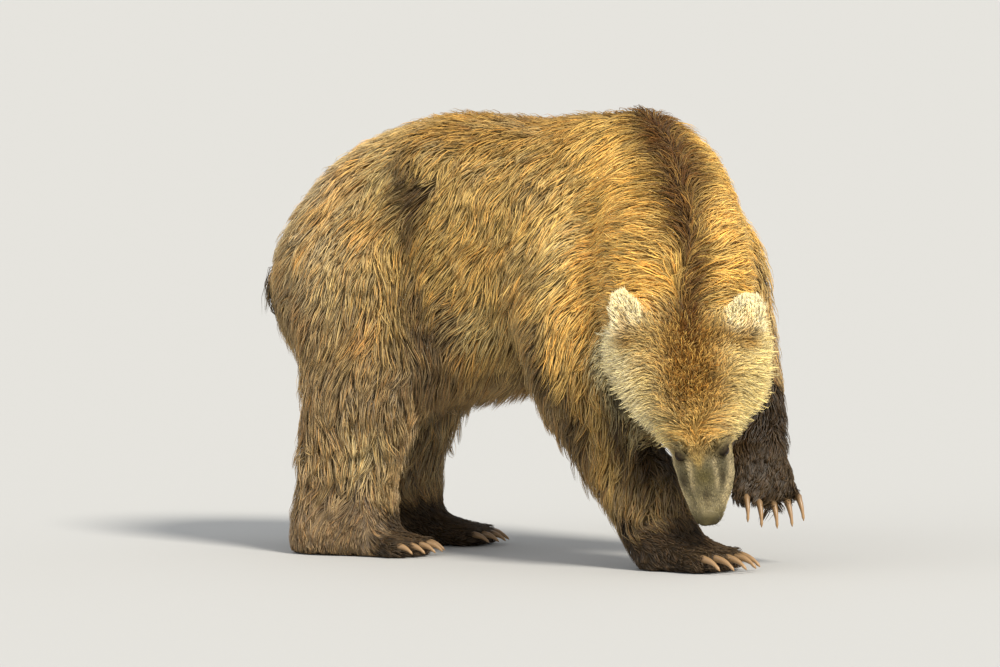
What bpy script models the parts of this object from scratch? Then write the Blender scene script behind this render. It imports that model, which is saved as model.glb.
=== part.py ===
"""A grizzly bear, life size, standing with its head lowered and turned to its right.

The solids reach out to the tips of the coat. +X is forward along the hindquarters, +Y is
the bear's left, +Z is up and the floor is z = 0. One form is modelled whole from lofts and
muscle masses, melted together, and then parted with thin cuts into head, neck, trunk, tail,
ears, nose and the segments of each leg. Eyes and claws are pieces of their own, set in
sockets. Lengths are in metres.
"""

import math
from collections import namedtuple

import bmesh
import bpy
from mathutils import Matrix, Vector

# ---------------------------------------------------------------- driving dimensions

VOXEL = 0.010            # grain of the melted form
CUT = 0.0004             # width of the thin cuts between parts
SOCKET_GAP = 0.0004      # clearance round an eye or a claw root
FLESH_GRAIN = (28, 5)    # points round a ring, and rings between two named sections
REGION_GRAIN = (10, 1)
CLAW_GRAIN = (6, 1)
FORM_TRIANGLES = 3080    # triangles left on the whole form before it is parted

FACE_YAW = math.radians(-65.0)      # the way the lowered forehead faces, from +X
HEAD_PITCH = math.radians(4.0)      # how far the muzzle's tip swings forward of plumb
HEAD_ROLL = math.radians(7.0)       # how far the muzzle's tip leans to the bear's left
NOSE_TIP = Vector((0.648, -0.396, 0.106))
EYE_RADIUS = 0.0125
CLAW_FORE = 0.056        # length of a fore claw out of the coat
CLAW_HIND = 0.036
CLAW_ROOT = 0.012        # depth of a claw's root in its toe
HALF_SPACE = 2.0         # side of the block that stands for all that lies beyond a plane

Section = namedtuple("Section", "at half_width above below")


# ---------------------------------------------------------------- helpers

def catmull(a, b, c, d, t):
    """The smooth curve through b and c, with a and d its neighbours."""
    return 0.5 * (2 * b + (c - a) * t + (2 * a - 5 * b + 4 * c - d) * t ** 2
                  + (3 * b - a - 3 * c + d) * t ** 3)


def blended(sections, index, t):
    """A section between two named ones."""
    last = len(sections) - 1
    near = [sections[min(max(index + k, 0), last)] for k in (-1, 0, 1, 2)]
    at = catmull(*(Vector(s.at) for s in near), t)
    sizes = [max(catmull(*(s[k] for s in near), t), 0.002) for k in (1, 2, 3)]
    return Section(at, *sizes)


def loft(form, sections, top, squareness=2.3, level=False, grain=FLESH_GRAIN):
    """A closed tube through the sections. top is the way that each section's above side looks.

    Its rings stand square to its line or, when it is level, lie flat.
    """
    points, steps = grain
    rings = [blended(sections, i, k / steps)
             for i in range(len(sections) - 1) for k in range(steps)]
    rings.append(Section(Vector(sections[-1].at), *sections[-1][1:]))
    loops = []
    for i, ring in enumerate(rings):
        ahead = rings[min(i + 1, len(rings) - 1)].at - rings[max(i - 1, 0)].at
        if level:
            ahead = Vector((0, 0, ahead.z))
        side = Vector(top).cross(ahead).normalized()
        up = ahead.cross(side).normalized()
        loop = []
        for k in range(points):
            angle = 2 * math.pi * k / points
            c, s = math.cos(angle), math.sin(angle)
            across = math.copysign(abs(c) ** (2 / squareness), c) * ring.half_width
            along = math.copysign(abs(s) ** (2 / squareness), s)
            along *= ring.above if s > 0 else ring.below
            loop.append(form.verts.new(ring.at + side * across + up * along))
        loops.append(loop)
    for near, far in zip(loops, loops[1:]):
        for k in range(points):
            n = (k + 1) % points
            form.faces.new((near[k], near[n], far[n], far[k]))
    form.faces.new(list(reversed(loops[0])))
    form.faces.new(loops[-1])


def mass(form, at, radii, yaw=0.0, pitch=0.0):
    """An ellipsoid of muscle or coat: radii are along, across and up before it is turned."""
    turn = Matrix.Rotation(yaw, 4, "Z") @ Matrix.Rotation(pitch, 4, "Y")
    place = Matrix.Translation(at) @ turn @ Matrix.Diagonal((*radii, 1.0))
    bmesh.ops.create_icosphere(form, subdivisions=3, radius=1.0, matrix=place)


def object_of(name, form, collection):
    """The bmesh as a mesh object, its faces pointing out."""
    bmesh.ops.recalc_face_normals(form, faces=form.faces)
    mesh = bpy.data.meshes.new(name)
    form.to_mesh(mesh)
    form.free()
    made = bpy.data.objects.new(name, mesh)
    collection.objects.link(made)
    return made


def settled(obj):
    """The object with its modifiers made part of its mesh."""
    graph = bpy.context.evaluated_depsgraph_get()
    mesh = bpy.data.meshes.new_from_object(obj.evaluated_get(graph))
    old = obj.data
    obj.modifiers.clear()
    obj.data = mesh
    bpy.data.meshes.remove(old)
    return obj


def material(name, colour, roughness):
    made = bpy.data.materials.new(name)
    made.use_nodes = True
    shader = made.node_tree.nodes["Principled BSDF"]
    shader.inputs["Base Color"].default_value = (*colour, 1.0)
    shader.inputs["Roughness"].default_value = roughness
    shader.inputs["Metallic"].default_value = 0.0
    made.diffuse_color = (*colour, 1.0)
    return made


def collection(name):
    made = bpy.data.collections.new(name)
    bpy.context.scene.collection.children.link(made)
    return made


# ---------------------------------------------------------------- scene

for old in list(bpy.data.objects):
    bpy.data.objects.remove(old)
BEAR = collection("grizzly_bear")
CUTTERS = collection("cutters")
CUTTERS.hide_render = True


# ---------------------------------------------------------------- trunk and neck

TRUNK = [
    Section((-0.605, 0.004, 0.650), 0.050, 0.050, 0.060),
    Section((-0.580, 0.003, 0.648), 0.120, 0.095, 0.130),
    Section((-0.525, 0.002, 0.650), 0.180, 0.134, 0.200),
    Section((-0.440, 0.000, 0.668), 0.225, 0.200, 0.250),
    Section((-0.330, 0.000, 0.690), 0.250, 0.274, 0.300),
    Section((-0.190, 0.002, 0.695), 0.262, 0.325, 0.350),
    Section((-0.030, 0.004, 0.690), 0.282, 0.328, 0.325),
    Section((0.110, 0.000, 0.700), 0.285, 0.312, 0.280),
    Section((0.240, -0.028, 0.720), 0.262, 0.312, 0.275),
    Section((0.350, -0.085, 0.740), 0.218, 0.290, 0.290),
    Section((0.425, -0.155, 0.735), 0.186, 0.245, 0.280),
    Section((0.485, -0.232, 0.680), 0.182, 0.220, 0.250),
    Section((0.540, -0.300, 0.600), 0.176, 0.195, 0.215),
    Section((0.572, -0.337, 0.520), 0.150, 0.165, 0.170),
]


def add_trunk(form):
    """The barrel from the rump to the nape, with the hump, loin, rump, chest and shoulders."""
    loft(form, TRUNK, (0, 0, 1))
    mass(form, (0.345, -0.080, 0.890), (0.165, 0.115, 0.163), yaw=math.radians(-40))
    mass(form, (-0.215, 0.000, 0.830), (0.190, 0.170, 0.176))
    mass(form, (0.420, -0.100, 0.560), (0.150, 0.180, 0.200), yaw=math.radians(-40))
    mass(form, (-0.440, 0.000, 0.560), (0.130, 0.150, 0.170))
    for side in (-1, 1):
        mass(form, (-0.425, side * 0.110, 0.610), (0.150, 0.140, 0.205))
        mass(form, (-0.200, side * 0.150, 0.500), (0.110, 0.090, 0.170), pitch=math.radians(-25))
    mass(form, (0.240, -0.170, 0.640), (0.185, 0.125, 0.240), yaw=math.radians(-25))
    mass(form, (0.435, 0.000, 0.660), (0.150, 0.125, 0.225), yaw=math.radians(-35))


TAIL = [
    Section((-0.520, 0.006, 0.700), 0.032, 0.030, 0.040),
    Section((-0.580, 0.008, 0.668), 0.036, 0.030, 0.040),
    Section((-0.618, 0.010, 0.622), 0.036, 0.028, 0.036),
    Section((-0.628, 0.010, 0.570), 0.027, 0.022, 0.027),
    Section((-0.624, 0.010, 0.530), 0.012, 0.011, 0.012),
]


# ---------------------------------------------------------------- head, in its own frame

def head_frame():
    """Columns: the muzzle's way, the bear's left, and the way the forehead looks."""
    look = Vector((math.cos(FACE_YAW), math.sin(FACE_YAW), 0))
    left = Vector((-look.y, look.x, 0))
    down = Vector((0, 0, -1))
    turn = Matrix.Rotation(HEAD_ROLL, 3, look) @ Matrix.Rotation(-HEAD_PITCH, 3, left)
    return turn @ down, turn @ left, turn @ look


MUZZLE_WAY, HEAD_LEFT, HEAD_TOP = head_frame()


def on_head(back, left, top):
    """A point of the head: back from the nose's tip, to the bear's left, and out of the forehead."""
    return NOSE_TIP - MUZZLE_WAY * back + HEAD_LEFT * left + HEAD_TOP * top


HEAD = [
    # back from the nose, rise of the axis, half width, above, below
    ("nape", 0.520, -0.030, 0.155, 0.120, 0.150),
    ("behind_ears", 0.450, -0.020, 0.190, 0.138, 0.160),
    ("ears", 0.395, -0.015, 0.206, 0.142, 0.160),
    ("cheeks", 0.330, -0.012, 0.209, 0.138, 0.150),
    ("temples", 0.275, -0.008, 0.180, 0.124, 0.135),
    ("brow", 0.225, -0.004, 0.138, 0.104, 0.115),
    ("eyes", 0.180, 0.000, 0.098, 0.080, 0.100),
    ("bridge", 0.145, -0.001, 0.078, 0.061, 0.090),
    ("muzzle", 0.095, -0.003, 0.067, 0.050, 0.078),
    ("lips", 0.048, -0.005, 0.056, 0.043, 0.064),
    ("nostrils", 0.018, -0.004, 0.045, 0.038, 0.048),
    ("tip", 0.000, -0.004, 0.030, 0.028, 0.032),
]


def add_head(form):
    """Skull, cheeks and muzzle, with the ruff below the ears and the swell over each eye."""
    loft(form, [Section(on_head(back, 0, rise), width, above, below)
                for _, back, rise, width, above, below in HEAD], HEAD_TOP, squareness=2.15)
    for side in (-1, 1):
        head_ball(form, (0.205, side * 0.058, 0.052), (0.052, 0.042, 0.036))
        head_ball(form, (0.330, side * 0.124, -0.010), (0.105, 0.088, 0.105))
        head_ball(form, (0.300, side * 0.085, -0.070), (0.110, 0.075, 0.090))


def head_ball(form, at, radii):
    """An ellipsoid in the head's frame."""
    basis = Matrix((-MUZZLE_WAY, HEAD_LEFT, HEAD_TOP)).transposed().to_4x4()
    place = Matrix.Translation(on_head(*at)) @ basis @ Matrix.Diagonal((*radii, 1.0))
    bmesh.ops.create_icosphere(form, subdivisions=3, radius=1.0, matrix=place)


EAR_BACK = {-1: 0.444, 1: 0.408}     # how far back of the nose each ear is rooted
EAR_OUT = {-1: 0.118, 1: 0.134}      # and how far out, as the ears are not held alike
EAR_RISE = 0.070
EAR_REACH = 0.118
EAR = [
    # part of the reach, half width, half depth
    (-0.15, 0.036, 0.034), (0.10, 0.043, 0.032), (0.40, 0.046, 0.028),
    (0.68, 0.043, 0.024), (0.88, 0.031, 0.018), (1.00, 0.012, 0.010),
]


def ear_place(side):
    """The ear's root, the way it stands, and the way its cup looks."""
    root = on_head(EAR_BACK[side], side * EAR_OUT[side], EAR_RISE)
    way = (-MUZZLE_WAY * 0.88 + HEAD_LEFT * side * 0.30 + HEAD_TOP * 0.30).normalized()
    look = (HEAD_TOP * 0.85 + MUZZLE_WAY * 0.45 + HEAD_LEFT * side * 0.12).normalized()
    return root, way, look


def add_ear(form, side):
    """A round ear, broad across and thin through."""
    root, way, look = ear_place(side)
    loft(form, [Section(root + way * EAR_REACH * t, wide, deep, deep)
                for t, wide, deep in EAR], look)


# ---------------------------------------------------------------- legs

FORE_RIGHT = [
    Section((0.262, -0.170, 0.800), 0.090, 0.120, 0.130),
    Section((0.260, -0.215, 0.680), 0.115, 0.155, 0.165),
    Section((0.262, -0.235, 0.540), 0.122, 0.145, 0.160),
    Section((0.290, -0.245, 0.410), 0.116, 0.125, 0.138),
    Section((0.368, -0.265, 0.275), 0.100, 0.102, 0.108),
    Section((0.448, -0.288, 0.150), 0.090, 0.088, 0.092),
    Section((0.500, -0.300, 0.070), 0.086, 0.082, 0.084),
    Section((0.520, -0.305, -0.005), 0.082, 0.076, 0.078),
]
FORE_LEFT = [
    Section((0.462, 0.005, 0.780), 0.080, 0.105, 0.115),
    Section((0.480, 0.028, 0.660), 0.104, 0.135, 0.150),
    Section((0.508, 0.038, 0.520), 0.106, 0.115, 0.135),
    Section((0.548, 0.030, 0.400), 0.098, 0.100, 0.110),
    Section((0.580, 0.008, 0.305), 0.090, 0.086, 0.088),
    Section((0.602, -0.012, 0.245), 0.080, 0.070, 0.072),
    Section((0.616, -0.026, 0.200), 0.062, 0.050, 0.050),
]
HIND_STANCE = {-1: (-0.335, -0.178), 1: (-0.385, 0.165)}   # each hind heel's ankle on the floor


def hind_leg(side):
    """Thigh, knee, hock and heel from the hip down to where that foot stands."""
    x, y = HIND_STANCE[side]
    hip = -0.330 + 0.25 * (x + 0.335)
    return [
        Section((hip + 0.010, side * 0.120, 0.780), 0.120, 0.170, 0.190),
        Section((hip + 0.015, side * 0.145, 0.640), 0.150, 0.195, 0.205),
        Section((hip * 0.7 + x * 0.3 + 0.020, side * 0.158, 0.500), 0.140, 0.180, 0.180),
        Section((hip * 0.4 + x * 0.6 + 0.015, y * 0.97, 0.380), 0.122, 0.155, 0.155),
        Section((x - 0.008, y, 0.260), 0.104, 0.132, 0.134),
        Section((x - 0.020, y, 0.150), 0.098, 0.122, 0.132),
        Section((x - 0.020, y, 0.060), 0.100, 0.122, 0.142),
        Section((x - 0.018, y, 0.000), 0.098, 0.118, 0.140),
    ]


Foot = namedtuple("Foot", "name heel toes half_width depth claw curl")
FEET = [
    Foot("hind_right", (-0.430, -0.178, 0.030), (-0.190, -0.200, 0.020), 0.080, 0.058,
         CLAW_HIND, (0.10, -0.75)),
    Foot("hind_left", (-0.440, 0.160, 0.030), (-0.200, 0.190, 0.020), 0.078, 0.056,
         CLAW_HIND, (0.10, -0.75)),
    Foot("fore_right", (0.500, -0.300, 0.036), (0.632, -0.328, 0.026), 0.084, 0.060,
         CLAW_FORE, (0.18, -0.78)),
    Foot("fore_left", (0.618, -0.034, 0.262), (0.664, -0.084, 0.160), 0.072, 0.046,
         CLAW_FORE, (0.30, -0.50)),
]
TOE_SPREAD = (-0.84, -0.46, 0.0, 0.46, 0.84)
TOE_LAG = (0.018, 0.004, 0.000, 0.004, 0.018)   # how far each toe ends behind the middle one


def foot_axes(foot):
    """The foot's forward way, its left, and its back (the top of the foot)."""
    ahead = (Vector(foot.toes) - Vector(foot.heel)).normalized()
    left = Vector((0, 0, 1)).cross(ahead).normalized()
    return ahead, left, ahead.cross(left).normalized()


def toe_places(foot):
    """The middle of each toe's ball, and the ball's radius."""
    ahead, left, _ = foot_axes(foot)
    return [(Vector(foot.toes) + ahead * (0.012 - lag) + left * foot.half_width * spread,
             foot.depth * 0.50) for spread, lag in zip(TOE_SPREAD, TOE_LAG)]


def add_foot(form, foot):
    """A flat broad foot that ends in five round toes."""
    heel, toes = Vector(foot.heel), Vector(foot.toes)
    wide, deep = foot.half_width, foot.depth
    stations = [(-0.22, 0.45, 0.55), (-0.08, 0.78, 0.95), (0.20, 0.90, 1.05),
                (0.60, 1.00, 0.88), (0.90, 1.02, 0.66), (1.06, 0.88, 0.42)]
    loft(form, [Section(heel.lerp(toes, t), wide * w, deep * d, deep * d)
                for t, w, d in stations], (0, 0, 1))
    for at, radius in toe_places(foot):
        bmesh.ops.create_icosphere(form, subdivisions=2, radius=radius,
                                   matrix=Matrix.Translation(at))


# ---------------------------------------------------------------- the whole form

def melted():
    """Every mass joined into one closed skin, softened where masses meet, then thinned."""
    form = bmesh.new()
    add_trunk(form)
    add_head(form)
    loft(form, TAIL, (-1, 0, 0.4))
    loft(form, FORE_RIGHT, (1, 0, 0))
    loft(form, FORE_LEFT, (1, 0, 0))
    for side in (-1, 1):
        add_ear(form, side)
        loft(form, hind_leg(side), (1, 0, 0))
    for foot in FEET:
        add_foot(form, foot)
    body = object_of("form", form, CUTTERS)
    melt = body.modifiers.new("melt", "REMESH")
    melt.mode = "VOXEL"
    melt.voxel_size = VOXEL
    settled(body)
    soften(body)
    thin = body.modifiers.new("thin", "DECIMATE")
    thin.ratio = FORM_TRIANGLES / sum(len(p.vertices) - 2 for p in body.data.polygons)
    settled(body)
    body.vertex_groups.clear()
    return body


def soften(body):
    """Smooths the body strongly and the face, ears and feet lightly."""
    plain = body.vertex_groups.new(name="plain")
    fine = body.vertex_groups.new(name="fine")
    face = on_head(0.20, 0, 0)
    for v in body.data.vertices:
        near_face = max(0.0, 1 - (v.co - face).length / 0.34)
        near_floor = max(0.0, 1 - v.co.z / 0.12)
        detail = min(1.0, 1.6 * max(near_face, near_floor))
        plain.add([v.index], 1 - detail, "REPLACE")
        fine.add([v.index], detail, "REPLACE")
    for group, rounds in (("plain", 36), ("fine", 3)):
        smooth = body.modifiers.new(group, "SMOOTH")
        smooth.factor = 0.5
        smooth.iterations = rounds
        smooth.vertex_group = group
    settled(body)


# ---------------------------------------------------------------- parting the form

def cutter(name, form):
    """A hidden solid for one cut."""
    made = object_of(name, form, CUTTERS)
    made.hide_render = True
    made.display_type = "WIRE"
    return made


def beyond(point, normal):
    """The region on the normal's side of a plane."""
    normal = Vector(normal).normalized()
    turn = normal.to_track_quat("Z", "Y").to_matrix().to_4x4()

    def build(grow):
        form = bmesh.new()
        centre = Vector(point) + normal * (HALF_SPACE / 2 - grow)
        bmesh.ops.create_cube(form, size=HALF_SPACE, matrix=Matrix.Translation(centre) @ turn)
        return form

    return build


def within(sections, top, squareness=2.0, level=False):
    """The region inside a loft."""
    def build(grow):
        form = bmesh.new()
        first, last = Vector(sections[0].at), Vector(sections[-1].at)
        start = (first - Vector(sections[1].at)).normalized() * grow
        end = (last - Vector(sections[-2].at)).normalized() * grow
        fat = [Section(Vector(s.at), *(size + grow for size in s[1:])) for s in sections]
        fat[0] = fat[0]._replace(at=first + start)
        fat[-1] = fat[-1]._replace(at=last + end)
        loft(form, fat, top, squareness, level, REGION_GRAIN)
        bmesh.ops.triangulate(form, faces=form.faces, quad_method="FIXED")
        return form

    return build


def shaped(body, name, tool, operation):
    """A copy of the body, kept inside the tool (INTERSECT) or cleared of it (DIFFERENCE)."""
    made = bpy.data.objects.new(name, body.data.copy())
    CUTTERS.objects.link(made)
    step = made.modifiers.new("cut", "BOOLEAN")
    step.operation = operation
    step.solver = "EXACT"
    step.object = tool
    settled(made)
    return only_largest(made)


def only_largest(obj):
    """Drops crumbs: the object keeps its largest loose piece."""
    form = bmesh.new()
    form.from_mesh(obj.data)
    bmesh.ops.remove_doubles(form, verts=form.verts, dist=1e-6)
    bmesh.ops.dissolve_degenerate(form, dist=1e-6, edges=form.edges)
    islands = []
    unseen = set(form.verts)
    while unseen:
        edge_of_island = [unseen.pop()]
        island = set(edge_of_island)
        while edge_of_island:
            vert = edge_of_island.pop()
            for edge in vert.link_edges:
                other = edge.other_vert(vert)
                if other in unseen:
                    unseen.remove(other)
                    island.add(other)
                    edge_of_island.append(other)
        islands.append(island)
    islands.sort(key=len)
    crumbs = [vert for island in islands[:-1] for vert in island]
    if crumbs:
        for island in islands[:-1]:
            middle = sum((vert.co for vert in island), Vector()) / len(island)
            print("crumb of", obj.name, len(island), [round(v, 3) for v in middle])
    bmesh.ops.delete(form, geom=crumbs, context="VERTS")
    form.to_mesh(obj.data)
    form.free()
    return obj


def part_off(body, name, region):
    """The piece of the body inside the region, and the rest of it standing clear by CUT."""
    inside = cutter("region", region(0.0))
    grown = cutter("grown_region", region(CUT))
    piece = shaped(body, name, inside, "INTERSECT")
    rest = shaped(body, "rest", grown, "DIFFERENCE")
    for used in (body, inside, grown):
        bpy.data.objects.remove(used)
    return piece, rest


def head_region():
    """The whole head: its own loft made wider, ending flat behind the ears."""
    grown = []
    for _, back, rise, width, above, below in HEAD:
        if back < 0.46:
            room = 0.018 + 0.15 * min(max(back - 0.10, 0.0), 0.25)
            grown.append(Section(on_head(back, 0, rise), width + room, above + room,
                                 below + room + 0.008))
    start = Section(on_head(0.475, 0, -0.02), 0.215, 0.20, 0.20)
    tip = Section(on_head(-0.03, 0, 0), 0.04, 0.04, 0.04)
    return within([start] + grown + [tip], HEAD_TOP)


def jaw_region():
    """The lower jaw: what lies under the line of the lips, from the chin to the cheeks."""
    stations = [(0.215, -0.148, 0.050, 0.060), (0.150, -0.125, 0.068, 0.066),
                (0.080, -0.112, 0.080, 0.074), (0.030, -0.105, 0.075, 0.074),
                (-0.020, -0.100, 0.070, 0.074)]
    return within([Section(on_head(back, 0, rise), wide, tall, tall)
                   for back, rise, wide, tall in stations], HEAD_TOP, squareness=5.0)


def nose_region():
    """The bare leather at the muzzle's tip."""
    stations = [(-0.03, 0.040, 0.034), (0.020, 0.038, 0.032), (0.040, 0.026, 0.018)]
    return within([Section(on_head(back, 0, 0.016), wide, tall, tall)
                   for back, wide, tall in stations], HEAD_TOP)


def ear_region(side):
    """One ear, cut where it rises from the coat of the head."""
    root, way, look = ear_place(side)
    stations = [(0.16, 0.058), (0.30, 0.068), (0.60, 0.072), (0.90, 0.064), (1.20, 0.050)]
    return within([Section(root + way * EAR_REACH * t, wide, wide * 0.75, wide * 0.75)
                   for t, wide in stations], look)


OUTWARD = 0.12           # how far a leg's region reaches past its flank


def leg_region(sections, side):
    """A whole leg with its shoulder or haunch, open to the flank on its outer side."""
    x, y, z = sections[1].at
    dome = [Section((x, y + side * 0.05, z + 0.12), OUTWARD * 0.7, 0.05, 0.05),
            Section((x, y + side * 0.08, z + 0.08), OUTWARD + 0.06, 0.11, 0.12)]
    shaft = []
    ankle = sections[-1].at[2] + 0.10
    for s in sections[1:-1]:
        x, y, z = s.at
        if z < ankle:
            continue
        reach = OUTWARD * min(max((z - 0.25) / 0.25, 0.3), 1.0)
        free = 0.012 if z > 0.45 else 0.030
        shaft.append(Section((x, y + side * reach, z), s.half_width + reach + free,
                             s.above + 0.012 + free, s.below + 0.012 + free))
    x, y, z = sections[-1].at
    foot = [Section((x + 0.05, y, height), 0.13, 0.24, 0.22) for height in (ankle, z - 0.20)]
    return within(dome + shaft + foot, (1, 0, 0), 3.6, level=True)


JOINTS = {
    # leg: the two cuts along it, each a point and the way down the leg
    "fore_right": (((0.288, -0.245, 0.415), (0.35, -0.05, -1.0)),
                   ((0.478, -0.295, 0.105), (0.45, -0.08, -1.0))),
    "fore_left": (((0.546, 0.032, 0.410), (0.30, -0.10, -1.0)),
                  ((0.604, -0.016, 0.256), (0.40, -0.25, -1.0))),
    "hind_right": (((-0.330, -0.170, 0.405), (-0.10, 0.0, -1.0)),
                   ((-0.352, -0.178, 0.115), (0.30, 0.0, -1.0))),
    "hind_left": (((-0.372, 0.165, 0.405), (-0.10, 0.0, -1.0)),
                  ((-0.402, 0.165, 0.115), (0.30, 0.0, -1.0))),
}
SEGMENTS = {"fore": ("upper_arm", "forearm", "paw"), "hind": ("thigh", "shank", "foot")}


def parted(body):
    """Every flesh piece by name, cut from the whole form."""
    pieces = {}

    def take(name, region):
        nonlocal body
        pieces[name], body = part_off(body, name, region)

    take("standing", beyond((0, 0, 0), (0, 0, 1)))
    bpy.data.objects.remove(body)
    body = pieces.pop("standing")
    for side, word in ((-1, "right"), (1, "left")):
        take("ear_" + word, ear_region(side))
    take("head", head_region())
    take("tail", within([Section((-0.640, 0.010, 0.700), 0.050, 0.060, 0.045),
                         Section((-0.655, 0.010, 0.600), 0.056, 0.060, 0.054),
                         Section((-0.665, 0.010, 0.480), 0.050, 0.060, 0.050)], (-1, 0, 0)))
    legs = (("fore_right", FORE_RIGHT, -1), ("fore_left", FORE_LEFT, 1),
            ("hind_right", hind_leg(-1), -1), ("hind_left", hind_leg(1), 1))
    for name, sections, side in legs:
        take(name, leg_region(sections, side))
        for word, (point, way) in zip(reversed(SEGMENTS[name[:4]][1:]), reversed(JOINTS[name])):
            whole = pieces.pop(name)
            pieces[name + "_" + word], pieces[name] = part_off(whole, name, beyond(point, way))
        pieces[name + "_" + SEGMENTS[name[:4]][0]] = pieces.pop(name)
    take("neck", beyond((0.350, -0.090, 0.740), (0.80, -0.62, -0.12)))
    pieces["trunk"] = body
    head = pieces.pop("head")
    pieces["nose"], head = part_off(head, "nose", nose_region())
    pieces["lower_jaw"], pieces["head"] = part_off(head, "lower_jaw", jaw_region())
    for name, piece in pieces.items():
        piece.name = name
    return pieces


# ---------------------------------------------------------------- eyes and claws

def on_surface(flesh, start, way):
    """Where a ray meets the flesh, and the way the flesh faces there."""
    hit, at, normal, _ = flesh.ray_cast(start, way)
    if not hit:
        raise RuntimeError("a ray missed " + flesh.name)
    return at, normal


def socketed(flesh, cutters):
    """The flesh with a socket cut for each piece that is set in it."""
    joined = bmesh.new()
    for build in cutters:
        build(joined, SOCKET_GAP)
    tool = cutter("sockets", joined)
    made = shaped(flesh, "socketed", tool, "DIFFERENCE")
    name = flesh.name
    bpy.data.objects.remove(flesh)
    bpy.data.objects.remove(tool)
    made.name = name
    return made


EYE_AT = (0.158, 0.066)     # back from the nose, and out to the side
EYE_SUNK = 0.009            # how far an eye's middle lies under the coat


def eye_builder(head, side):
    back, out = EYE_AT
    at, normal = on_surface(head, on_head(back, side * out, 0.3), -HEAD_TOP)
    centre = at - normal * EYE_SUNK

    def build(form, grow=0.0):
        bmesh.ops.create_icosphere(form, subdivisions=2, radius=EYE_RADIUS + grow,
                                   matrix=Matrix.Translation(centre))

    return build


def claw_builder(foot, toe):
    """One curved claw: deep, narrow and tapering, with its root inside the toe."""
    ahead, left, back = foot_axes(foot)
    at, radius = toe_places(foot)[toe]
    way = (ahead + left * TOE_SPREAD[toe] * 0.10).normalized()
    start, end = foot.curl
    size = foot.claw / CLAW_FORE
    steps = 4
    length = CLAW_ROOT + foot.claw
    point = at + way * (radius - CLAW_ROOT) + back * radius * 0.30
    path = [point.copy()]
    for k in range(steps):
        bend = start + (end - start) * (k + 0.5) / steps
        point += (way * math.cos(bend) + back * math.sin(bend)) * length / steps
        path.append(point.copy())
    taper = [(0.95, 0.95), (1.0, 1.0), (0.80, 0.78), (0.52, 0.48), (0.12, 0.10)]
    wide = 0.0052 + 0.0010 * size
    deep = 0.0058 + 0.0026 * size

    def build(form, grow=0.0):
        places = [path[0] - way * grow] + path[1:]
        sections = [Section(place, wide * w + grow, deep * d + grow, deep * d + grow)
                    for place, (w, d) in zip(places, taper)]
        loft(form, sections, back, squareness=2.0, grain=CLAW_GRAIN)

    return build


def set_in(pieces, flesh_name, builders):
    """Adds the set-in pieces, and cuts their sockets."""
    for name, build in builders.items():
        form = bmesh.new()
        build(form)
        pieces[name] = object_of(name, form, CUTTERS)
    pieces[flesh_name] = socketed(pieces[flesh_name], list(builders.values()))


# ---------------------------------------------------------------- materials and the frame

LOOKS = (
    # the first of these words that a node's name holds decides its colour and roughness
    ("eye", (0.020, 0.012, 0.008), 0.08), ("claw", (0.42, 0.26, 0.12), 0.35),
    ("nose", (0.035, 0.030, 0.030), 0.50), ("ear_", (0.66, 0.52, 0.31), 0.85),
    ("head", (0.60, 0.44, 0.22), 0.85), ("jaw", (0.36, 0.25, 0.14), 0.80),
    ("neck", (0.48, 0.29, 0.11), 0.85), ("trunk", (0.30, 0.17, 0.07), 0.85),
    ("upper_arm", (0.22, 0.125, 0.055), 0.85), ("thigh", (0.24, 0.15, 0.07), 0.85),
    ("tail", (0.11, 0.065, 0.035), 0.85), ("", (0.10, 0.055, 0.030), 0.75),
)


def finished(piece):
    """Links the piece as a node, with its material and smooth faces."""
    for word, colour, roughness in LOOKS:
        if word in piece.name:
            break
    piece.data.materials.clear()
    piece.data.materials.append(material(piece.name + "_look", colour, roughness))
    for face in piece.data.polygons:
        face.use_smooth = len(face.vertices) < 5
    CUTTERS.objects.unlink(piece)
    BEAR.objects.link(piece)


def recentred(pieces):
    """Moves every mesh so that the middle of the whole bear's floor outline is the origin."""
    corners = [v.co for piece in pieces for v in piece.data.vertices]
    low = Vector(min(c[k] for c in corners) for k in range(3))
    high = Vector(max(c[k] for c in corners) for k in range(3))
    shift = Vector((-(low.x + high.x) / 2, -(low.y + high.y) / 2, -low.z))
    for piece in pieces:
        piece.data.transform(Matrix.Translation(shift))
    return shift, high - low


if __name__ == "__main__":
    PIECES = parted(melted())
    set_in(PIECES, "head", {"eye_" + word: eye_builder(PIECES["head"], side)
                            for side, word in ((-1, "right"), (1, "left"))})
    for foot in FEET:
        end = SEGMENTS[foot.name[:4]][-1]
        set_in(PIECES, foot.name + "_" + end,
               {"claw_%s_%d" % (foot.name, k + 1): claw_builder(foot, k) for k in range(5)})
    for piece in PIECES.values():
        finished(piece)
    SHIFT, SIZE = recentred(list(PIECES.values()))
    print("moved by", [round(v, 5) for v in SHIFT], "size", [round(v, 4) for v in SIZE])
    print("triangles", sum(len(p.vertices) - 2 for piece in PIECES.values()
                           for p in piece.data.polygons), "nodes", len(PIECES))
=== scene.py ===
# %% [markdown]
# # A grizzly bear, head down at the water's edge
#
# This notebook dresses a packed set of solids as a life-size grizzly bear. The solids fix the size,
# the pose and the outline out to the tips of the coat. Everything here is built on them: one skin
# without a seam, a coat of a hundred thousand small locks, the eyes with their lids, the nose and
# the claws. The bear faces +X, its left is +Y, and the floor is at zero.

# %% Load the solids and clear the start-up scene
import math

import bmesh
import bpy
import numpy as np
from mathutils import Matrix, Vector
from mathutils.bvhtree import BVHTree
from mathutils.kdtree import KDTree


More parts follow.
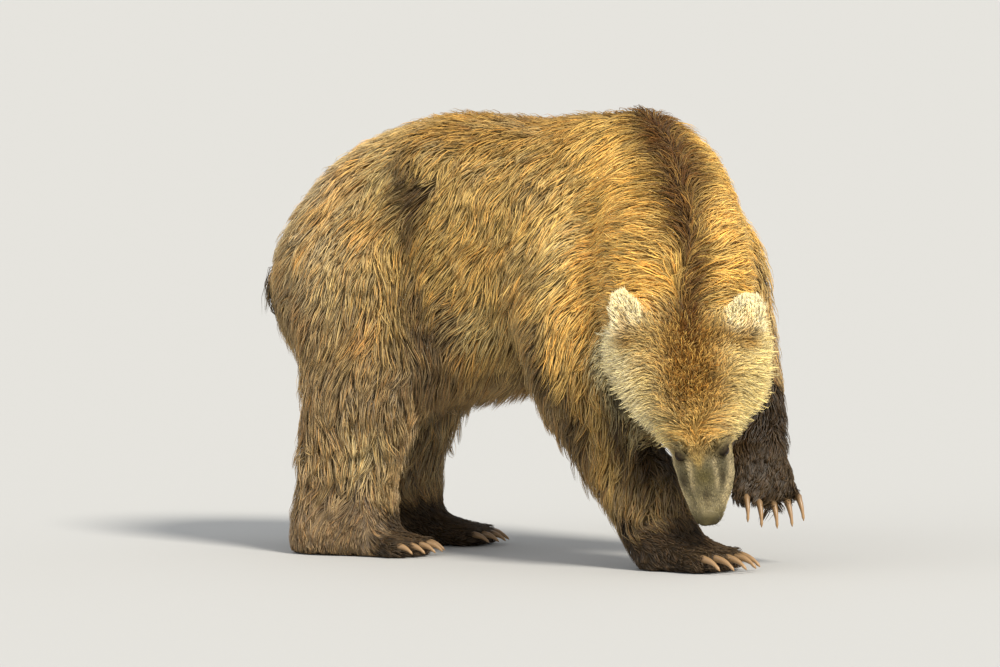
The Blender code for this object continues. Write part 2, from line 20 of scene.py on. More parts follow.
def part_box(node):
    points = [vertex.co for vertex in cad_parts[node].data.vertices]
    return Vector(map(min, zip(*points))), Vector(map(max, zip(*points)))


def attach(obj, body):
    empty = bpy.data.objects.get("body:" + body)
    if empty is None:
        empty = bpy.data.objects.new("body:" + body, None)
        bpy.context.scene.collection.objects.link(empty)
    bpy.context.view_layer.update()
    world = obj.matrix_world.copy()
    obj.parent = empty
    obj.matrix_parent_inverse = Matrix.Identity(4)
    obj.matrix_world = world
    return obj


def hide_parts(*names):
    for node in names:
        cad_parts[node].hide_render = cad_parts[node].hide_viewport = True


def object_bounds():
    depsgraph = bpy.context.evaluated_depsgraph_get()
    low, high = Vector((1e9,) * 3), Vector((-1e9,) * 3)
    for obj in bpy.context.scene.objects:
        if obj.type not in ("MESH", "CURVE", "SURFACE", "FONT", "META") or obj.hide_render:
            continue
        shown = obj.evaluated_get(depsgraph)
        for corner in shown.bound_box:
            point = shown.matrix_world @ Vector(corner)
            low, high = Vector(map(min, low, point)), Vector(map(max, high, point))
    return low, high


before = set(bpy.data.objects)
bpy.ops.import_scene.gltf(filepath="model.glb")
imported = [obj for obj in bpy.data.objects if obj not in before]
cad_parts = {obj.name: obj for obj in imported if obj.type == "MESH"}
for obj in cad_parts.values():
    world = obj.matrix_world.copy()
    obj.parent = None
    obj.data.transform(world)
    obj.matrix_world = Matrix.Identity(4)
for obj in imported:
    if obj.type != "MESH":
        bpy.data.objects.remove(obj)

for start_up in ("Cube", "Light", "Camera"):
    if start_up in bpy.data.objects:
        bpy.data.objects.remove(bpy.data.objects[start_up])
CAD_BOX = [list(corner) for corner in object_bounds()]
print("solids", len(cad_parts), "box", [[round(x, 3) for x in c] for c in CAD_BOX])

# %% [markdown]
# ## The head's own directions
#
# The head hangs down and is turned to the bear's right, so nothing on it lies along X, Y or Z. Three
# directions of its own make it as easy to work on as a head held straight: the way the muzzle
# points, the bear's left, and the way the forehead looks. They turn by the same three angles as in
# the solids, and the two eyes say where the head is, so it follows the solids wherever they go.

# %% Set up the head's frame
FACE_YAW, HEAD_PITCH, HEAD_ROLL = (math.radians(a) for a in (-65.0, 4.0, 7.0))
EYE_BACK, EYE_RISE = 0.1659, 0.0553
SIDES = ((-1, "right"), (1, "left"))


def head_ways():
    """The way the muzzle points, the bear's left, and the way the forehead looks."""
    look = Vector((math.cos(FACE_YAW), math.sin(FACE_YAW), 0))
    left = Vector((-look.y, look.x, 0))
    turn = Matrix.Rotation(HEAD_ROLL, 3, look) @ Matrix.Rotation(-HEAD_PITCH, 3, left)
    return turn @ Vector((0, 0, -1)), turn @ left, turn @ look


def middle(node):
    """The middle of a solid's box."""
    low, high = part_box(node)
    return (Vector(low) + Vector(high)) / 2


MUZZLE_WAY, HEAD_LEFT, HEAD_TOP = head_ways()
EYES = {side: middle("eye_" + word) for side, word in SIDES}
NOSE_TIP = (EYES[-1] + EYES[1]) / 2 + MUZZLE_WAY * EYE_BACK - HEAD_TOP * EYE_RISE
HEAD_AXES = np.array([-MUZZLE_WAY, HEAD_LEFT, HEAD_TOP])


def on_head(back, left, top):
    """A place on the head, measured back from the nose's tip, to the left, and out of the forehead."""
    return NOSE_TIP - MUZZLE_WAY * back + HEAD_LEFT * left + HEAD_TOP * top


def head_places(points):
    """The same three measures for an array of points."""
    return (points - np.array(NOSE_TIP)) @ HEAD_AXES.T


print("nose tip at", [round(x, 4) for x in NOSE_TIP])

# %% [markdown]
# ## The camera
#
# The camera stands far off with a long lens, nearly level, and looks at the bear's right flank
# and lowered forehead. Its distance sets the perspective, and the lens is worked out from it so that
# a given width fills the view. Lamps are aimed in the same way, so one helper places both.

# %% Place the camera
VIEW_AZIMUTH, VIEW_ELEVATION = math.radians(25.0), math.radians(3.2)
VIEW_DISTANCE, METRES_ACROSS = 25.0, 2.30
AIM_ON_FLOOR = Vector((-0.07476, 0.12921, 0))
AIM_RIGHT, AIM_UP = -0.0460, 0.50485


def way_to(azimuth, elevation):
    """The way out from the bear: the azimuth counts from its right flank, towards its front."""
    return Vector((math.sin(azimuth) * math.cos(elevation),
                   -math.cos(azimuth) * math.cos(elevation), math.sin(elevation)))


def aimed(name, data, place, out):
    """A lamp or camera at this place, which looks against the way that leads out to it."""
    obj = bpy.data.objects.new(name, data)
    bpy.context.scene.collection.objects.link(obj)
    obj.location = place
    obj.rotation_mode = "QUATERNION"
    obj.rotation_quaternion = (-out).to_track_quat("-Z", "Y")
    return obj


def place_camera():
    """The camera, aimed at a place beside the middle of the solids' box."""
    out = way_to(VIEW_AZIMUTH, VIEW_ELEVATION)
    right = Vector((math.cos(VIEW_AZIMUTH), math.sin(VIEW_AZIMUTH), 0))
    low, high = (Vector(c) for c in CAD_BOX)
    aim = Vector(((low.x + high.x) / 2, (low.y + high.y) / 2, low.z))
    aim += AIM_ON_FLOOR + right * AIM_RIGHT + out.cross(right) * AIM_UP
    camera = aimed("camera", bpy.data.cameras.new("camera"), aim + out * VIEW_DISTANCE, out)
    bpy.context.scene.camera = camera
    camera.data.lens = camera.data.sensor_width * VIEW_DISTANCE / METRES_ACROSS
    camera.data.clip_end = 400.0
    return camera


camera = place_camera()
print("lens", round(camera.data.lens), "mm, height", round(camera.location.z, 2), "m")

# %% [markdown]
# ## The floor and the light
#
# The floor is a wide pale disc. Light comes from one large warm lamp high on the right, a weaker one
# on the left and a pale sky, so that the coat shows its form with no hard shadow.

# %% Lay the floor and set the lamps
MIDDLE_OF_BEAR, LAMP_DISTANCE = Vector((0, 0, 0.5)), 6.0


def plain_floor(radius=150.0):
    """A flat disc on the ground, with a pale matt paint."""
    mesh = bpy.data.meshes.new("floor")
    ring = [(radius * math.cos(a), radius * math.sin(a), 0.0)
            for a in (math.tau * k / 64 for k in range(64))]
    mesh.from_pydata(ring, [], [list(range(64))])
    floor = bpy.data.objects.new("floor", mesh)
    bpy.context.scene.collection.objects.link(floor)
    paint = bpy.data.materials.new("pale_floor")
    paint.use_nodes = True
    shader = paint.node_tree.nodes["Principled BSDF"]
    shader.inputs["Base Color"].default_value = (0.47, 0.465, 0.45, 1)
    shader.inputs["Roughness"].default_value = 0.85
    mesh.materials.append(paint)


def lamp(name, azimuth, elevation, softness, power, colour):
    """A far lamp that shines from a compass direction and a height, with soft-edged shadows."""
    out = way_to(math.radians(azimuth), math.radians(elevation))
    light = bpy.data.lights.new(name, "SUN")
    light.angle, light.energy, light.color = math.radians(softness), power, colour
    aimed(name, light, MIDDLE_OF_BEAR + out * LAMP_DISTANCE, out)


plain_floor()
lamp("key_lamp", 56, 42, 14, 4.4, (1.0, 0.955, 0.87))
lamp("fill_lamp", -25, 25, 60, 0.7, (0.96, 0.97, 1.0))
sky = bpy.data.worlds.new("pale_sky")
sky.use_nodes = True
sky.node_tree.nodes["Background"].inputs["Color"].default_value = (0.90, 0.93, 0.96, 1)
sky.node_tree.nodes["Background"].inputs["Strength"].default_value = 0.70
bpy.context.scene.world = sky
bpy.context.scene.view_settings.view_transform = "Standard"

# %% [markdown]
# ## The outer form, in one piece
#
# The solids are parted at the joints by cuts of 0.4 millimetres. To get one closed form again, each
# flesh solid is copied, its loose triangles are merged, and it is swollen by 0.6 millimetres, so
# that neighbours overlap. A voxel remesh then melts them together, and only the largest island is
# kept. This is quicker and safer than a chain of Boolean unions.

# %% Melt the flesh solids together
FLESH = [name for name in sorted(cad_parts) if not name.startswith(("claw_", "eye_"))]
MELT_GRAIN = 0.0092


def welded(solid, swell=0.0):
    """A merged copy of a solid's mesh as a bmesh, swollen along its normals."""
    form = bmesh.new()
    form.from_mesh(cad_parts[solid].data)
    bmesh.ops.remove_doubles(form, verts=form.verts, dist=1e-5)
    form.normal_update()
    for vert in form.verts:
        vert.co += vert.normal * swell
    return form


def mesh_piece(name, points, faces):
    """A new object at the origin with this mesh."""
    mesh = bpy.data.meshes.new(name)
    mesh.from_pydata(points, [], faces)
    obj = bpy.data.objects.new(name, mesh)
    bpy.context.scene.collection.objects.link(obj)
    return obj


def islands(form):
    """The points of each connected part of a bmesh."""
    seen = set()
    for vert in form.verts:
        if vert in seen:
            continue
        island, waiting = [], [vert]
        seen.add(vert)
        while waiting:
            here = waiting.pop()
            island.append(here)
            for edge in here.link_edges:
                other = edge.other_vert(here)
                if other not in seen:
                    seen.add(other)
                    waiting.append(other)
        yield island


def melted(names, grain, swell=0.0006):
    """These solids as one closed mesh of even quads."""
    points, faces = [], []
    for name in names:
        form = welded(name, swell)
        start = len(points)
        points += [v.co.copy() for v in form.verts]
        faces += [[start + v.index for v in f.verts] for f in form.faces]
        form.free()
    obj = mesh_piece("melt", points, faces)
    remesh = obj.modifiers.new("melt", "REMESH")
    remesh.mode, remesh.voxel_size = "VOXEL", grain
    mesh = bpy.data.meshes.new_from_object(obj.evaluated_get(bpy.context.evaluated_depsgraph_get()))
    bpy.data.objects.remove(obj)
    form = bmesh.new()
    form.from_mesh(mesh)
    bpy.data.meshes.remove(mesh)
    keep = set(max(islands(form), key=len))
    bmesh.ops.delete(form, geom=[v for v in form.verts if v not in keep], context="VERTS")
    return form


form = melted(FLESH, MELT_GRAIN)
print("outer form", len(form.verts), "points")

# %% [markdown]
# ## A finer mesh on the head
#
# The barrel needs a point every nine millimetres, but lips and eye sockets need one every two.
# The faces of the muzzle and round the eyes are therefore cut finer, twice. The step between grains
# lies under the coat, where it doesn't show.

# %% Cut the face finer
FACE_REACH, NOSE_REACH = (0.235, 0.27), (0.060, 0.10)
EYE_REACH = 0.040


def near_nose(place, reach):
    """Whether a place lies within these distances, along the muzzle and straight from the nose."""
    off = place - NOSE_TIP
    return off.dot(-MUZZLE_WAY) < reach[0] and off.length < reach[1]


def near_eye(place):
    """Whether a place lies within reach of an eye's middle."""
    return min((place - eye).length for eye in EYES.values()) < EYE_REACH


def cut_finer(form, near):
    """Cuts the edges whose middle passes the test in half, and the faces on them."""
    edges = [e for e in form.edges if near((e.verts[0].co + e.verts[1].co) / 2)]
    bmesh.ops.subdivide_edges(form, edges=edges, cuts=1, use_grid_fill=True)
    bmesh.ops.triangulate(form, faces=[f for f in form.faces if len(f.verts) > 4])


cut_finer(form, lambda place: near_nose(place, FACE_REACH))
cut_finer(form, lambda place: near_eye(place) or near_nose(place, NOSE_REACH))
form.verts.ensure_lookup_table()
form.verts.index_update()
body_points = np.array([v.co for v in form.verts])
body_faces = [[v.index for v in f.verts] for f in form.faces]
body_edges = np.array([[v.index for v in e.verts] for e in form.edges])
form.free()
print("skin", len(body_points), "points", sum(len(f) - 2 for f in body_faces), "triangles")

# %% [markdown]
# ## Easing values over the surface
#
# Nearly all that follows is a number or a direction at each point: how deep the coat is, how long a
# lock grows, which way it lies. They are set part by part, and then eased: each point takes the mean
# of itself and its neighbours, again and again, so the seams between parts fade out.

# %% Easing and normals, with arrays
TRIANGLES = np.array([[f[0], f[k], f[k + 1]] for f in body_faces for k in range(1, len(f) - 1)])
LINKS = np.concatenate([body_edges, body_edges[:, ::-1]])
LINK_COUNT = np.bincount(LINKS[:, 0], minlength=len(body_points)).astype(float)


def eased(values, rounds, share=0.5):
    """Values at the points, each moved a share of the way to its neighbours' mean, in rounds."""
    flat = np.array(values, float).reshape(len(values), -1)
    weight = np.broadcast_to(np.asarray(share, float).reshape(-1, 1), (len(flat), 1))
    for _ in range(rounds):
        mean = np.stack([np.bincount(LINKS[:, 0], weights=flat[LINKS[:, 1], k],
                                     minlength=len(flat)) for k in range(flat.shape[1])], 1)
        flat = flat + (mean / LINK_COUNT[:, None] - flat) * weight
    return flat.reshape(np.shape(values))


def unit(vectors):
    """The same directions with a length of 1."""
    return vectors / np.maximum(np.linalg.norm(vectors, axis=-1, keepdims=True), 1e-9)


def normals_of(points):
    """The way out of the surface at each point, from its triangles in step with their area."""
    a, b, c = (points[TRIANGLES[:, k]] for k in range(3))
    across = np.cross(b - a, c - a)
    total = np.stack([sum(np.bincount(TRIANGLES[:, j], weights=across[:, k],
                                      minlength=len(points)) for j in range(3))
                      for k in range(3)], 1)
    return unit(total)


def bump(distance, reach):
    """1 at no distance, falling softly, with a third left at the reach."""
    return np.exp(-(distance / reach) ** 2)


def ramp(values, low, high):
    """0 below low, 1 above high, and a soft step between."""
    t = np.clip((values - low) / (high - low), 0, 1)
    return t * t * (3 - 2 * t)


def between(values, starts, full, fades, ends):
    """0 outside, 1 from full to fades, and a soft step at either end."""
    return ramp(values, starts, full) * ramp(-values, -ends, -fades)


CHANCE = np.random.default_rng(41)


def even_noise(rounds):
    """A slow random value over the surface, mostly within -1 to 1."""
    slow = eased(CHANCE.standard_normal(len(body_points)), rounds)
    return slow / slow.std() * 0.6


SWIRL, UNEVEN = even_noise(60), even_noise(24)
print("links", len(LINKS))

# %% [markdown]
# ## Which part each point belongs to
#
# The nearest solid names each point's part. A table then gives every part its coat: how deep it lies
# on the skin, how long and how wide its locks are, how many grow on a square metre, how far they
# gather in wet points, how far they hang, how far they turn aside and how far strays stand off. The
# numbers are a grizzly's in late summer: deep on neck and flank, shaggy and wet on the legs, short on
# feet and face.

# %% Name the parts and look up their coat
def nearest_parts(points):
    """The name of the nearest solid for each point."""
    verts, tris, owner = [], [], []
    for solid in FLESH:
        form = welded(solid)
        start = len(verts)
        verts += [v.co.copy() for v in form.verts]
        for face in form.faces:
            tris.append([start + v.index for v in face.verts])
            owner.append(solid)
        form.free()
    tree = BVHTree.FromPolygons(verts, tris)
    return np.array([owner[tree.find_nearest(p)[2]] for p in points.tolist()])


PARTS = nearest_parts(body_points)
COAT = {
    # part of a name: depth, length, width, locks to a square metre, gathering, hang, ruffle, strays
    "trunk": (0.026, 0.074, 0.0029, 19000, 0.62, 0.10, 0.20, 0.55),
    "neck": (0.028, 0.072, 0.0026, 23500, 0.58, 0.05, 0.22, 0.55),
    "tail": (0.009, 0.095, 0.0030, 40000, 0.75, 0.30, 0.25, 3.50),
    "head": (0.023, 0.040, 0.0016, 86000, 0.34, 0.00, 0.26, 0.75),
    "lower_jaw": (0.006, 0.014, 0.0018, 50000, 0.20, 0.05, 0.20, 0.20),
    "nose": (0.003, 0.026, 0.0012, 60000, 0.00, 0.00, 0.20, 0.00),
    "ear_": (0.011, 0.026, 0.0016, 165000, 0.12, 0.00, 0.07, 0.45),
    "upper_arm": (0.024, 0.070, 0.0030, 19500, 0.66, 0.18, 0.20, 0.60),
    "forearm": (0.022, 0.066, 0.0030, 22500, 0.88, 0.28, 0.24, 0.95),
    "thigh": (0.025, 0.070, 0.0030, 19000, 0.64, 0.18, 0.20, 0.60),
    "shank": (0.023, 0.068, 0.0030, 22500, 0.88, 0.28, 0.24, 0.95),
    "fore_left_paw": (0.006, 0.044, 0.0025, 42000, 0.75, 0.10, 0.25, 0.60),
    "paw": (0.005, 0.026, 0.0022, 36000, 0.62, 0.05, 0.25, 0.30),
    "foot": (0.006, 0.027, 0.0022, 36000, 0.62, 0.05, 0.25, 0.30),
}


def coat_values(parts):
    """Each point's row of the table."""
    row = {solid: next(v for key, v in COAT.items() if key in solid) for solid in FLESH}
    return np.array([row[part] for part in parts])


def is_part(*words):
    """1 where the part's name holds one of these words."""
    hit = {solid: float(any(word in solid for word in words)) for solid in FLESH}
    return np.array([hit[part] for part in PARTS])


DEPTH, LENGTH, WIDTH, CROWD, GATHER, HANG, RUFFLE, STRAY = coat_values(PARTS).T
print({n: int((PARTS == n).sum()) for n in ("trunk", "neck", "head", "ear_left", "nose")})

# %% [markdown]
# ## From the coat's tips down to the skin
#
# The solids reach out to the tips of the coat, so the skin lies inside them. First the flat facets
# of the solids are eased away, a lot on the barrel and little on ears and toes, which would shrink.
# Then each point sinks along its normal by the depth of the coat at that place.

# %% Ease the facets and sink the skin
# Each ear's root on the head, -1 for the right ear and 1 for the left, and half its height, width and
# thickness.
EAR_BACK, EAR_OUT, EAR_RISE = {-1: 0.444, 1: 0.408}, {-1: 0.118, 1: 0.134}, 0.070
EAR_HALF = {-1: (0.057, 0.038, 0.026), 1: (0.057, 0.047, 0.026)}
EAR_MIDDLE = 0.052


def ear_frame(side):
    """The ear's root, the way it stands, and the way its cup looks."""
    root = on_head(EAR_BACK[side], side * EAR_OUT[side], EAR_RISE)
    way = (-MUZZLE_WAY * 0.88 + HEAD_LEFT * side * 0.14 + HEAD_TOP * 0.30).normalized()
    look = (HEAD_TOP * 0.85 + MUZZLE_WAY * 0.45 + HEAD_LEFT * side * 0.12).normalized()
    look = (look - way * look.dot(way)).normalized()
    return np.array(root), np.array(way), np.array(look)


def ear_measures(points, side):
    """How far up the ear a point lies, how far across it, and how far out of its front."""
    root, way, look = ear_frame(side)
    off = points - root
    return off @ way, off @ np.cross(look, way), off @ look


def rounded_ear(points, side, word):
    """The ear's points drawn to a round, thin disc that stands on the ear's root."""
    root, way, look = ear_frame(side)
    axes = np.array([way, np.cross(look, way), look])
    centre = root + way * EAR_MIDDLE
    half = np.array(EAR_HALF[side])
    off = (points - centre) @ axes.T / half
    disc = centre + (unit(off) * half) @ axes
    share = (is_part("ear_" + word) * ramp((points - root) @ way, 0.012, 0.045))[:, None]
    return points * (1 - share) + disc * share


def eye_gap(points):
    """How far each point is from the nearer eye's middle."""
    return np.min([np.linalg.norm(points - np.array(e), axis=1) for e in EYES.values()], axis=0)


BACK, LEFT, TOP = head_places(body_points).T
ON_HEAD = is_part("head", "lower_jaw", "nose")
ON_EAR = is_part("ear_")
ON_MUZZLE = np.maximum(ramp(-BACK, -0.182, -0.138), bump(eye_gap(body_points), 0.026)) * (ON_HEAD > 0)
keeps_shape = is_part("ear_", "paw", "foot", "tail", "lower_jaw", "nose")
softness = 1.0 - 0.45 * is_part("head") - 0.80 * keeps_shape
outer = eased(body_points, 26, 0.5 * eased(softness, 6))
for side, word in SIDES:
    outer = rounded_ear(outer, side, word)
DEPTH = DEPTH + 0.010 * ramp(np.abs(LEFT), 0.05, 0.15) * is_part("head")
DEPTH = eased(np.where(ON_MUZZLE > 0, DEPTH * (1 - ON_MUZZLE) + 0.003 * ON_MUZZLE, DEPTH), 40)
outward = normals_of(eased(outer, 8))
skin = outer - outward * DEPTH[:, None]
skin = eased(skin, 6, 0.4 * (1 - np.clip(ON_MUZZLE + ON_EAR, 0, 1)))
print("coat depth", DEPTH.min().round(4), "to", DEPTH.max().round(4))

# %% [markdown]
# ## Sculpting the face
#
# Short hair hides little, so the muzzle, the lips, the eyes' hollows and the ears' cups are in the
# skin itself. Each is a push along the normal, with a soft round edge: a hollow round each eye, a
# fold over it, a groove between the bridge and the cheek of the muzzle, the slit of the mouth, and
# the deep front of each ear. Toes and forelegs grow a little fuller in the same way. Last, the head
# is drawn in, most on its right half, which stands it a little turned.

# %% Push the folds of the face in and out
MOUTH_BACK = (-0.02, 0.03, 0.08, 0.15, 0.215)
MOUTH_RISE = (-0.026, -0.031, -0.038, -0.059, -0.088)
EYE_PLACES = {side: head_places(np.array([EYES[side]]))[0] for side, _ in SIDES}
# The camera's right, which is the way along which the forelegs are filled out.
LEG_AHEAD = np.array([0.906, 0.423, 0.0])


def mouth_gap(points):
    """How far each point lies above or below the line of the mouth, and 1 away from it."""
    back, _, top = head_places(points).T
    gap = np.abs(top - np.interp(back, MOUTH_BACK, MOUTH_RISE))
    return np.where((back < 0.17) & (back > -0.03), gap, 1.0)


def claw_gap():
    """How far each point of the body is from the nearest claw's root."""
    roots = []
    for claw in sorted(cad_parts):
        if claw.startswith("claw_"):
            paw = middle(claw[5:-2] + ("_paw" if "fore" in claw else "_foot"))
            form = welded(claw)
            places = sorted((v.co for v in form.verts), key=lambda c: (c - paw).length)
            roots.append(np.array(places[:6]).mean(0))
            form.free()
    return np.min([np.linalg.norm(outer - root, axis=1) for root in roots], axis=0)


CLAW_GAP = claw_gap()


def spot(places, at, reach):
    """1 at a place on the head, falling softly to 0 around it."""
    return bump(np.linalg.norm(places - np.array(at), axis=1), reach)


def face_push(points):
    """How far the skin of the face goes out, in metres, at each point."""
    places = head_places(points)
    back, left, top = places.T
    push = -0.0060 * bump(mouth_gap(points), 0.0036)
    for side, _ in SIDES:
        push -= 0.0045 * spot(places, EYE_PLACES[side], 0.017)
        push += 0.0060 * spot(places, EYE_PLACES[side] + (0.026, -side * 0.004, 0.010), 0.020)
        groove = np.hypot(left - side * (0.030 + 0.10 * back), np.maximum(0.0, 0.03 - top))
        push -= 0.0045 * bump(groove, 0.009) * between(back, 0.030, 0.060, 0.120, 0.150)
        push += 0.0045 * spot(places, (0.050, side * 0.046, -0.004), 0.022)
    return push * (ON_HEAD > 0)


def body_push(points):
    """The same behind the left cheek, at the toes, on the forelegs and in the ears."""
    push = -0.034 * spot(head_places(points), (0.445, 0.115, -0.185), 0.075) * (is_part("head", "neck") > 0)
    push += 0.0090 * bump(CLAW_GAP, 0.022) * is_part("paw", "foot")
    ahead, z = outward @ LEG_AHEAD, points[:, 2]
    push += 0.0170 * ramp(-ahead, 0.1, 0.7) * between(z, 0.130, 0.165, 0.24, 0.30) * is_part("fore_left")
    fuller = ramp(ahead, 0.1, 0.7) * between(z, 0.090, 0.130, 0.22, 0.27)
    push += 0.0190 * fuller * is_part("fore_right_forearm")
    for side, word in SIDES:
        up, across, out = ear_measures(points, side)
        cup = np.hypot((up - 0.050) / 0.034, across / 0.024)
        push -= 0.016 * bump(cup, 1.0) * ramp(out, 0.0, 0.012) * is_part("ear_" + word)
    return push


# At these distances back from the nose's tip: half the head's width, and how far its right and left
# sides come in.
FACE_BACK = (0.000, 0.030, 0.050, 0.080, 0.115, 0.150, 0.180, 0.200, 0.222, 0.265, 0.308, 0.360, 0.420)
FACE_HALF = (0.052, 0.060, 0.062, 0.065, 0.070, 0.085, 0.110, 0.135, 0.160, 0.195, 0.208, 0.209, 0.205)
RIGHT_IN = (0.018, 0.022, 0.023, 0.016, 0.016, 0.019, 0.036, 0.051, 0.058, 0.061, 0.049, 0.029, 0.006)
LEFT_IN = (0.003, 0.009, 0.009, -0.004, -0.007, 0.000, 0.018, 0.032, 0.034, 0.030, 0.026, 0.013, 0.003)


def drawn_in(points):
    """How far each place of the head moves to the bear's left. Cheeks and muzzle grow slimmer so."""
    back, left, _ = head_places(points).T
    out = np.clip(np.abs(left) / np.interp(back, FACE_BACK, FACE_HALF), 0, 1.1)
    most = np.where(left < 0, np.interp(back, FACE_BACK, RIGHT_IN), -np.interp(back, FACE_BACK, LEFT_IN))
    return most * ramp(out, 0.0, 1.0) * ramp(-back, -0.47, -0.40)


skin += outward * (face_push(skin) + body_push(skin))[:, None]
skin += np.array(HEAD_LEFT) * (drawn_in(skin) * eased(ON_HEAD, 30))[:, None]
print("drawn in by", np.abs(drawn_in(skin)).max().round(4), "at most")

# %% [markdown]
# ## The line of the back
#
# A dark line runs from the rump over the hump and down the neck to the crown, and the hair of hump
# and neck parts along it. It is found on the form itself: at stations along the middle of the barrel
# and neck, a ray comes in from outside on the side of the back, at right angles to the path, until
# it meets the surface. On the head the rays come in against the way the forehead looks.

# %% Find the line of the back on the form
MIDDLE_LINE = [(-0.660, 0.133, 0.650), (-0.515, 0.129, 0.668), (-0.405, 0.129, 0.690),
               (-0.265, 0.131, 0.695), (-0.105, 0.133, 0.690), (0.035, 0.129, 0.700),
               (0.165, 0.101, 0.720), (0.275, 0.044, 0.740), (0.350, -0.026, 0.735),
               (0.410, -0.103, 0.680), (0.465, -0.171, 0.600)]
CROWN_LINE = (0.44, 0.38, 0.32, 0.27, 0.22, 0.17)


def back_line(points):
    """Places on the surface along the back, from the rump to the brow."""
    tree = BVHTree.FromPolygons(points.tolist(), TRIANGLES.tolist())
    path = [Vector(p) for p in MIDDLE_LINE] + [on_head(CROWN_LINE[0], 0, -0.02)]
    line = []
    for k, place in enumerate(path[:-1]):
        way = (path[k + 1] - path[max(k - 1, 0)]).normalized()
        rise = (Vector((0, 0, 1)) - way * way.z).normalized()
        line.append(tree.ray_cast(place + rise, -rise)[0])
    for back in CROWN_LINE:
        line.append(tree.ray_cast(on_head(back, 0, 0.6), -HEAD_TOP)[0])
    return np.array(line)


def nearest_on_line(points, line):
    """The distance to the line, the place on it, and how far along it that lies, by stations."""
    best = np.full(len(points), 9.0)
    place, along = np.zeros_like(points), np.zeros(len(points))
    for k, (a, b) in enumerate(zip(line[:-1], line[1:])):
        t = np.clip((points - a) @ (b - a) / ((b - a) @ (b - a)), 0, 1)
        foot = a + t[:, None] * (b - a)
        gap = np.linalg.norm(points - foot, axis=1)
        nearer = gap < best
        best, along = np.where(nearer, gap, best), np.where(nearer, k + t, along)
        place[nearer] = foot[nearer]
    return best, place, along


LINE = back_line(outer)
LINE_GAP, LINE_PLACE, LINE_ALONG = nearest_on_line(outer, LINE)
LINE_SIDE = unit(outer - LINE_PLACE)
LINE_BACK = unit(LINE[:-1] - LINE[1:])[np.minimum(LINE_ALONG.astype(int), len(LINE) - 2)]
print("back line", len(LINE), "stations, crown at", LINE[-1].round(3))

# %% [markdown]
# ## The lie of the coat
#
# Hair lies in currents. On barrel and thighs it runs back and down, on the legs straight down, on
# the feet towards the toes. On neck and hump it falls away from the line of the back to both sides.
# On the head it starts at the nose, runs back over the muzzle, fans out on the brow and turns
# outwards on the cheeks. Each part's current is a direction in space. Projected on the surface and
# eased, they join.

# %% Set the currents of the coat
def blend(*pairs):
    """The sum of directions, each times its weight at every point."""
    return sum(np.asarray(weight, float).reshape(-1, 1) * np.broadcast_to(np.asarray(way, float),
               outer.shape) for weight, way in pairs)


SIDE_LEFT = np.tanh(LEFT / 0.035)
ON_NECK = is_part("neck")
FRONT = ramp(outer[:, 0], 0.02, 0.30) * (is_part("trunk", "upper_arm") > 0)
PARTED = np.clip(ON_NECK + FRONT, 0, 1) * ramp(-LINE_GAP, -0.46, -0.20)
CHEEK = ramp(np.abs(LEFT), 0.05, 0.15) * is_part("head") * (1 - ON_MUZZLE)
HEAD_AWAY, HEAD_OUT, HEAD_UP = HEAD_AXES
BROW = bump(BACK - 0.205, 0.045) * is_part("head") * (1 - ON_MUZZLE) * ramp(eye_gap(outer), 0.020, 0.050)
ON_CROWN = bump(LEFT, 0.085) * ramp(BACK, 0.21, 0.27) * eased(is_part("head"), 6)
HEEL = is_part("hind_right_foot") * ramp(-outer[:, 0], 0.300, 0.400)


def lie_of_coat():
    """The way the hair lies at each point, as a sum of the currents of the parts."""
    lie = blend(
        (is_part("trunk") * (1 - PARTED), (-0.55, 0, -0.85)),
        (is_part("trunk") * ramp(-outer[:, 0], 0.25, 0.45), (0.20, 0, -0.40)),
        (is_part("thigh"), (-0.28, 0, -1.0)),
        (is_part("trunk", "upper_arm") * PARTED * 0.5, (-0.30, 0, -0.60)),
        (is_part("upper_arm") * (1 - PARTED), (-0.30, 0, -0.95)),
        (ON_NECK * (1 - PARTED), (-0.10, 0, -1.0)),
        (is_part("forearm", "shank"), (-0.12, 0, -1.0)),
        (is_part("tail"), (-0.45, -0.10, -1.0)),
        (is_part("fore_right_paw"), (0.95, -0.20, -0.45)),
        (is_part("fore_left_paw"), (0.38, -0.42, -0.86)),
        (is_part("foot"), (0.85, 0, -0.55)),
        (1.2 * HEEL, (-0.85, 0, -1.1)),
        (is_part("head") * (1 - CHEEK) + is_part("lower_jaw", "nose"), HEAD_AWAY),
        (is_part("head") * (1 - ON_MUZZLE) * 0.15 - 0.25 * CHEEK, HEAD_AWAY),
        *((is_part("ear_" + word), ear_frame(side)[1]) for side, word in SIDES))
    lie += LINE_SIDE * (PARTED * 0.9 * ramp(LINE_GAP, 0.004, 0.030))[:, None]
    lie += LINE_BACK * (np.clip(PARTED + ON_CROWN, 0, 1) * (0.30 + 0.5 * bump(LINE_GAP, 0.02)))[:, None]
    lie += HEAD_OUT * (SIDE_LEFT * (CHEEK + 0.35 * is_part("head") + 0.7 * BROW))[:, None]
    lie -= HEAD_UP * (0.8 * CHEEK)[:, None]
    lie -= HEAD_AWAY * BROW[:, None]
    return lie


def along_surface(ways, normals):
    """Directions with the part that leaves the surface taken away."""
    return unit(ways - normals * (ways * normals).sum(1, keepdims=True))


outward = normals_of(skin)
LIE = along_surface(lie_of_coat(), outward)
LIE = along_surface(eased(LIE, 14), outward)
print("lie along X, Y and Z", LIE.mean(0).round(2))

# %% [markdown]
# ## Longer, finer or thicker by place
#
# The table gives one row to each part, but a coat changes within a part too. It is short and fine on
# the muzzle, short round the eyes, ruffled and thick along the parting and long over the right heel,
# and under the belly it hangs. A lock of ear or toe is free: it goes straight on and isn't led over
# the skin.

